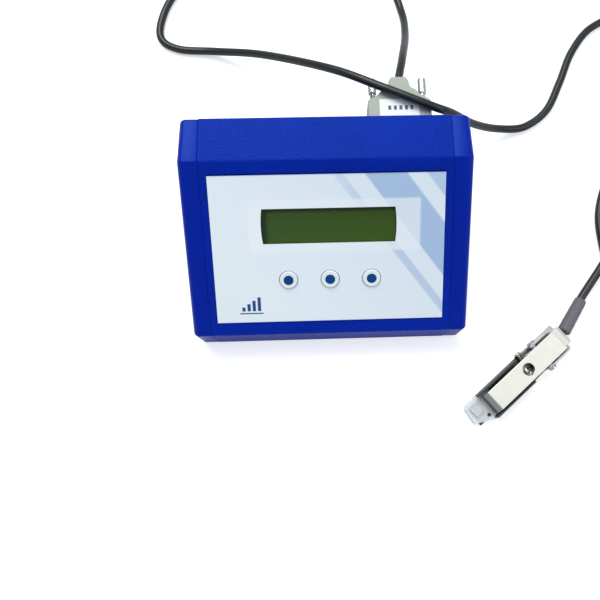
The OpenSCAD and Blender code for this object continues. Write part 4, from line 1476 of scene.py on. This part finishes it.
@dataclass
class FrontPanel:
    """Overlay, display stack and the three keys."""

    slope: SlopeFrame = SlopeFrame()
    key_x: float = 0.3 * MM
    key_s: float = 27 * MM
    pitch: float = 19.05 * MM
    dot_r: float = 2.3 * MM
    board_half: Tuple[float, float] = (37.5 * MM, 15.5 * MM)

    def key(self, name: str, step: int) -> None:
        """One key: a turned cap with a dished top, a printed dot, flange and stem.

        Args:
            name: the key's node and body.
            step: place in the row, from -1 to 1.
        """
        origin = self.slope.place(np.array(self.key_x + step * self.pitch),
                                  np.array(self.key_s), np.array(0.0))
        normal = (0.0, -math.sin(self.slope.angle), math.cos(self.slope.angle))
        rows = [(-5.7, 0.2), (-5.7, 1.5), (-5.6, 1.6), (-3.6, 1.6), (-3.6, 5.1), (-3.5, 5.2),
                (-2.6, 5.2), (-2.6, 4.1), (0.35, 4.1), (0.62, 4.03), (0.75, 3.86),
                (0.80, 3.6), (0.80, 3.2), (0.77, 2.9), (0.76, 2.35)]
        profile = turned([(d * MM, r * MM) for d, r in rows], 64)
        rings = turned_rings(*profile, tuple(origin), normal)
        cap = place_piece(ring_piece(f"{name}_cap", rings, 30.0), Finishes.KEY, "key_white",
                          name, name)
        dot_rows = [(0.70, 0.1), (0.70, self.dot_r / MM), (0.775, self.dot_r / MM),
                    (0.79, self.dot_r / MM - 0.1), (0.795, 1.2), (0.795, 0.1)]
        rings = turned_rings(*turned([(d * MM, r * MM) for d, r in dot_rows], 48),
                             tuple(origin), normal)
        dot = ring_piece(f"{name}_dot", rings, 30.0)
        place_piece(dot, Finishes.DOT, "key_white", name)
        LOG.info("%s and %s ride together", cap.name, dot.name)

    def on_slope(self, x: float, s: float, n: float) -> Point:
        """A point of the slope's frame as X, Y, Z.

        Args:
            x: distance across.
            s: distance up the slope.
            n: distance out of it.

        Returns:
            The point.
        """
        return tuple(self.slope.place(np.array(x), np.array(s), np.array(n)))

    def build(self) -> None:
        """Dresses the front panel."""
        dress_node("front_overlay", Finishes.FILM)
        dress_node("display_window", Finishes.PANE)
        dress_node("display_glass", Finishes.GLASS)
        dress_node("display_backlight", Finishes.LIGHT)
        bezel = softened("display_bezel", 0.12 * MM, 2)
        place_piece(bezel, Finishes.BEZEL, "dark_bezel")
        dress_node("display_board", Finishes.BOARD)
        dress_node("key_board", Finishes.BOARD)
        dress_node("key_switches", Finishes.BLACK)
        for step, name in zip((-1, 0, 1), ("button_left", "button_middle", "button_right")):
            self.key(name, step)
        normal = (0.0, -math.sin(self.slope.angle), math.cos(self.slope.angle))
        hx, hs = self.board_half
        spots = [self.on_slope(self.key_x + i * hx, 52.2 * MM + j * hs, -9.15 * MM)
                 for i in (-1, 1) for j in (-1, 1)]
        screws = [Screw(p, normal, 2.2 * MM, 1.6 * MM, 1.2 * MM, 4.8 * MM) for p in spots]
        place_piece(screw_set("display_screw_set", screws), Finishes.ZINC, "zinc", CONSOLE,
                    "display_screws")
        spots = [self.on_slope(self.key_x + i * self.pitch / 2, self.key_s, -12.3 * MM)
                 for i in (-1, 1)]
        screws = [Screw(p, normal, 2.2 * MM, 1.6 * MM, 1.2 * MM, 5.8 * MM) for p in spots]
        place_piece(screw_set("key_screw_set", screws), Finishes.ZINC, "zinc", CONSOLE,
                    "key_board_screws")


@dataclass
class Electronics:
    """Main board, its parts, flat cables and battery."""

    board_top: float = 8.15 * MM

    def build(self) -> None:
        """Dresses the parts inside the case."""
        for node, finish in (
                ("main_board", Finishes.BOARD), ("board_chips", Finishes.BLACK),
                ("board_connectors", Finishes.BLACK), ("display_ribbon", Finishes.RIBBON),
                ("input_ribbon", Finishes.RIBBON), ("battery", Finishes.SLEEVE),
                ("battery_snap", Finishes.BLACK)):
            dress_node(node, finish)
        spots = [(x * MM, y * MM, self.board_top + 1.6 * MM)
                 for x, y in ((-13, -32), (40, -32), (-13, 30), (24, 30))]
        screws = [Screw(p, (0.0, 0.0, -1.0), 2.2 * MM, 1.6 * MM, 1.2 * MM, 4.8 * MM)
                  for p in spots]
        place_piece(screw_set("board_screw_set", screws), Finishes.ZINC, "zinc", CONSOLE,
                    "main_board_screws")


@dataclass
class RearPlug:
    """Socket, plug, hood and the two thumbscrews."""

    x: float = 36 * MM
    z: float = 33.5 * MM
    spacing: float = 25 * MM
    knob_y: float = 72 * MM
    knob_l: float = 8 * MM
    knob_r: float = 2.1 * MM
    shaft_r: float = 1.4 * MM

    def thumbscrew(self, name: str, side: int) -> bpy.types.Object:
        """Knurled thumbscrew.

        The head's radius is knob_r less a knurl: two crossing sets of ridges, the smaller of
        |sin(9 a + 16 t)| and |sin(9 a - 16 t)|, faded out at both ends of the head.

        Args:
            name: the thumbscrew's node and body.
            side: -1 for the left one and 1 for the right.

        Returns:
            The new object.
        """
        around = 96
        angle = np.linspace(0, TAU, around, endpoint=False)[None, :]
        t = np.linspace(0, 1, 34)[:, None]
        ridges = np.minimum(np.abs(np.sin(9 * angle + 16 * t)), np.abs(np.sin(9 * angle - 16 * t)))
        fade = np.clip(np.minimum(t, 1 - t) / 0.12, 0, 1)
        head = self.knob_r - 0.02 * MM - fade * (1 - ridges) * 0.16 * MM
        head = head * (1 - 0.10 * (1 - np.clip(np.minimum(t, 1 - t) / 0.06, 0, 1)))
        along = self.knob_y + t[:, 0] * self.knob_l
        start = 46 * MM
        shaft_r, shaft_y = turned([(start, 0.9 * MM), (start + 0.5 * MM, self.shaft_r),
                                   (self.knob_y - 0.4 * MM, self.shaft_r),
                                   (self.knob_y, self.shaft_r)], around)
        radii = np.vstack([shaft_r, head])
        distance = np.repeat(np.concatenate([shaft_y, along])[:, None], around, 1)
        share = np.array([0.72, 0.66, 0.5, 0.36, 0.22, 0.06])[:, None]
        face_r = self.knob_r * np.repeat(share, around, 1)
        slot = np.clip((0.42 * MM - np.abs(face_r * np.sin(angle))) / (0.12 * MM), 0, 1)
        face_y = self.knob_y + self.knob_l - slot * 1.0 * MM
        radii = np.vstack([radii, face_r])
        distance = np.vstack([distance, face_y])
        rings = turned_rings(radii, distance, (self.x + side * self.spacing / 2, 0.0, self.z),
                             (0.0, 1.0, 0.0))
        return place_piece(ring_piece(f"{name}_piece", rings, 45.0), Finishes.NICKEL,
                           "nickel", name, name)

    def build(self) -> List[bpy.types.Object]:
        """Makes and dresses the socket's and the plug's pieces, and returns the plug's.

        Returns:
            The plug's pieces.
        """
        carried = [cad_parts[n] for n in (
            "plug_insulator", "plug_pins", "cable_clamp", "plug_label")]
        for node, finish in (
                ("socket_insulator", Finishes.BLACK), ("plug_insulator", Finishes.BLACK),
                ("plug_pins", Finishes.GOLD), ("cable_clamp", Finishes.ZINC),
                ("plug_label", Finishes.LABEL)):
            dress_node(node, finish)
        for node, width in (("socket_shell", 0.12), ("jack_posts", 0.15), ("plug_shell", 0.12)):
            shell = place_piece(softened(node, width * MM, 2, 40.0), Finishes.NICKEL, "nickel")
        carried.append(shell)
        for node in ("plug_hood_upper", "plug_hood_lower"):
            carried.append(place_piece(softened(node, 0.5 * MM, 3, 20.0), Finishes.HOOD,
                                       "hood_grey"))
        spots = [(self.x + i * 8.6 * MM, 61 * MM, 26.2 * MM) for i in (-1, 1)]
        screws = [Screw(p, (0.0, 0.0, 1.0), 1.6 * MM, 1.3 * MM, 0.9 * MM, 9.6 * MM)
                  for p in spots]
        carried.append(place_piece(screw_set("hood_screw_set", screws), Finishes.ZINC, "zinc",
                                   CONSOLE, "hood_screws"))
        carried.append(self.thumbscrew("thumbscrew_left", -1))
        carried.append(self.thumbscrew("thumbscrew_right", 1))
        return carried


@dataclass
class PinchSensor:
    """Channel, lever, pivot, beam, spring and finger pad, in the sensor's own frame."""

    origin: Point = (95 * MM, -64 * MM, 0.0)
    turn: float = math.radians(219.6)
    pivot: Tuple[float, float] = (-11 * MM, 7 * MM)
    spring_x: float = 15 * MM

    def world(self, point: Sequence[float]) -> np.ndarray:
        """A point (or rows of points) of the sensor's frame, in the model's frame.

        Args:
            point: the point or rows.

        Returns:
            The same, in the model's frame.
        """
        p = np.asarray(point, float)
        c, s = math.cos(self.turn), math.sin(self.turn)
        x, y, z = p[..., 0], p[..., 1], p[..., 2]
        return np.stack([self.origin[0] + x * c - y * s, self.origin[1] + x * s + y * c, z], -1)

    def across(self, sign: float) -> Point:
        """The sensor's sideways direction, times sign.

        Args:
            sign: -1 or 1.

        Returns:
            The direction.
        """
        return (-sign * math.sin(self.turn), sign * math.cos(self.turn), 0.0)

    def pin(self) -> None:
        """Pivot pin with a chamfered head at each end."""
        px, pz = self.pivot
        rows = [(-8.55, 0.2), (-8.55, 1.6), (-8.3, 2.0), (-7.5, 2.1), (-7.25, 2.1),
                (-7.25, 1.5), (7.25, 1.5), (7.25, 2.1), (7.5, 2.1), (8.3, 2.0),
                (8.55, 1.6), (8.55, 0.2)]
        rings = turned_rings(*turned([(d * MM, r * MM) for d, r in rows], 48),
                             tuple(self.world((px, 0.0, pz))), self.across(1.0))
        place_piece(ring_piece("pivot_pin_piece", rings, 30.0), Finishes.NICKEL, "nickel",
                    CONSOLE, "pivot_pin")

    def spring(self) -> None:
        """Return spring: a helix with closed ends."""
        wire, radius = 0.6 * MM, 2.0 * MM
        low, high = 1.56 * MM, 10.64 * MM
        t = np.linspace(0, 1, 260)
        rise = np.clip((t - 0.14) / 0.72, 0, 1)
        angle = 5.5 * TAU * t
        local = np.stack([self.spring_x + radius * np.cos(angle), radius * np.sin(angle),
                          low + (high - low) * (0.05 * t + 0.95 * rise)], -1)
        rings = tube_rings(self.world(local), np.full(len(t), wire / 2 * 0.98), 10)
        piece = ring_piece("return_spring_piece", rings, 60.0)
        place_piece(piece, Finishes.SPRING, "spring_steel", CONSOLE, "return_spring")
        foot = self.world((self.spring_x, 0.0, 1.25 * MM))
        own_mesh(piece)

    def build(self) -> None:
        """Makes and dresses the sensor's pieces."""
        place_piece(softened("sensor_channel", 0.18 * MM, 2), Finishes.CHANNEL, "sensor_steel")
        lever = softened("sensor_lever", 0.22 * MM, 3, 30.0)
        place_piece(lever, Finishes.LEVER, "lever_steel", "lever")
        place_piece(softened("gland_block", 0.35 * MM, 3), Finishes.GLAND, "gland_metal")
        place_piece(softened("tip_pad", 0.25 * MM, 2), Finishes.ACRYLIC, "clear_acrylic")
        place_piece(softened("load_beam", 0.12 * MM, 2), Finishes.BEAM, "beam_aluminium")
        place_piece(softened("beam_mount", 0.10 * MM, 2), Finishes.CHANNEL, "sensor_steel")
        stud = softened("push_stud", 0.2 * MM, 2)
        place_piece(stud, Finishes.NICKEL, "lever_steel", "lever")
        dress_node("strain_gauge", Finishes.GAUGE)
        self.pin()
        self.spring()
        down = (0.0, 0.0, -1.0)
        beam = [Screw(tuple(self.world((x * MM, 0.0, 6.43 * MM))), down, 1.45 * MM, 1.2 * MM,
                      0.9 * MM, 4.9 * MM) for x in (-17.5, -14.3)]
        place_piece(screw_set("beam_screw_set", beam), Finishes.ZINC, "zinc", CONSOLE,
                    "beam_screws")
        centre = Screw(tuple(self.world((-0.8 * MM, 1.2 * MM, 6.83 * MM))), down, 2.1 * MM,
                       1.6 * MM, 1.1 * MM, 2.0 * MM, Drive.SLOT, 0.45)
        place_piece(screw_set("centre_screw_piece", [centre]), Finishes.NICKEL, "zinc", CONSOLE,
                    "centre_screw")
        side = Screw(tuple(self.world((-2.8 * MM, -8.9 * MM, 4.1 * MM))), self.across(1.0),
                     1.8 * MM, 1.5 * MM, 0.9 * MM, 5.0 * MM, Drive.SLOT, 0.3)
        place_piece(screw_set("side_screw_piece", [side]), Finishes.NICKEL, "zinc", CONSOLE,
                    "side_screw")
        tip = Screw(tuple(self.world((27.9 * MM, 3.7 * MM, 4.2 * MM))), down, 0.7 * MM,
                    0.5 * MM, 0.68 * MM, 3.5 * MM, Drive.HEX, 0.1)
        place_piece(screw_set("tip_screw_piece", [tip]), Finishes.BLACKENED, "black_screw",
                    CONSOLE, "tip_screw")


def main() -> None:
    """Builds the studio, the lead and then each sub-assembly."""
    logging.basicConfig(level=logging.INFO, format="%(message)s")
    studio = Studio()
    studio.camera()
    lead = Lead()
    tube = lead.build()
    studio.build()
    sensor = PinchSensor()
    lead.sleeve(sensor)
    ConsoleCase().build()
    FrontPanel().build()
    Electronics().build()
    lead.declare(RearPlug().build())
    sensor.build()
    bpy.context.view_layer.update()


if __name__ == "__main__":
    main()
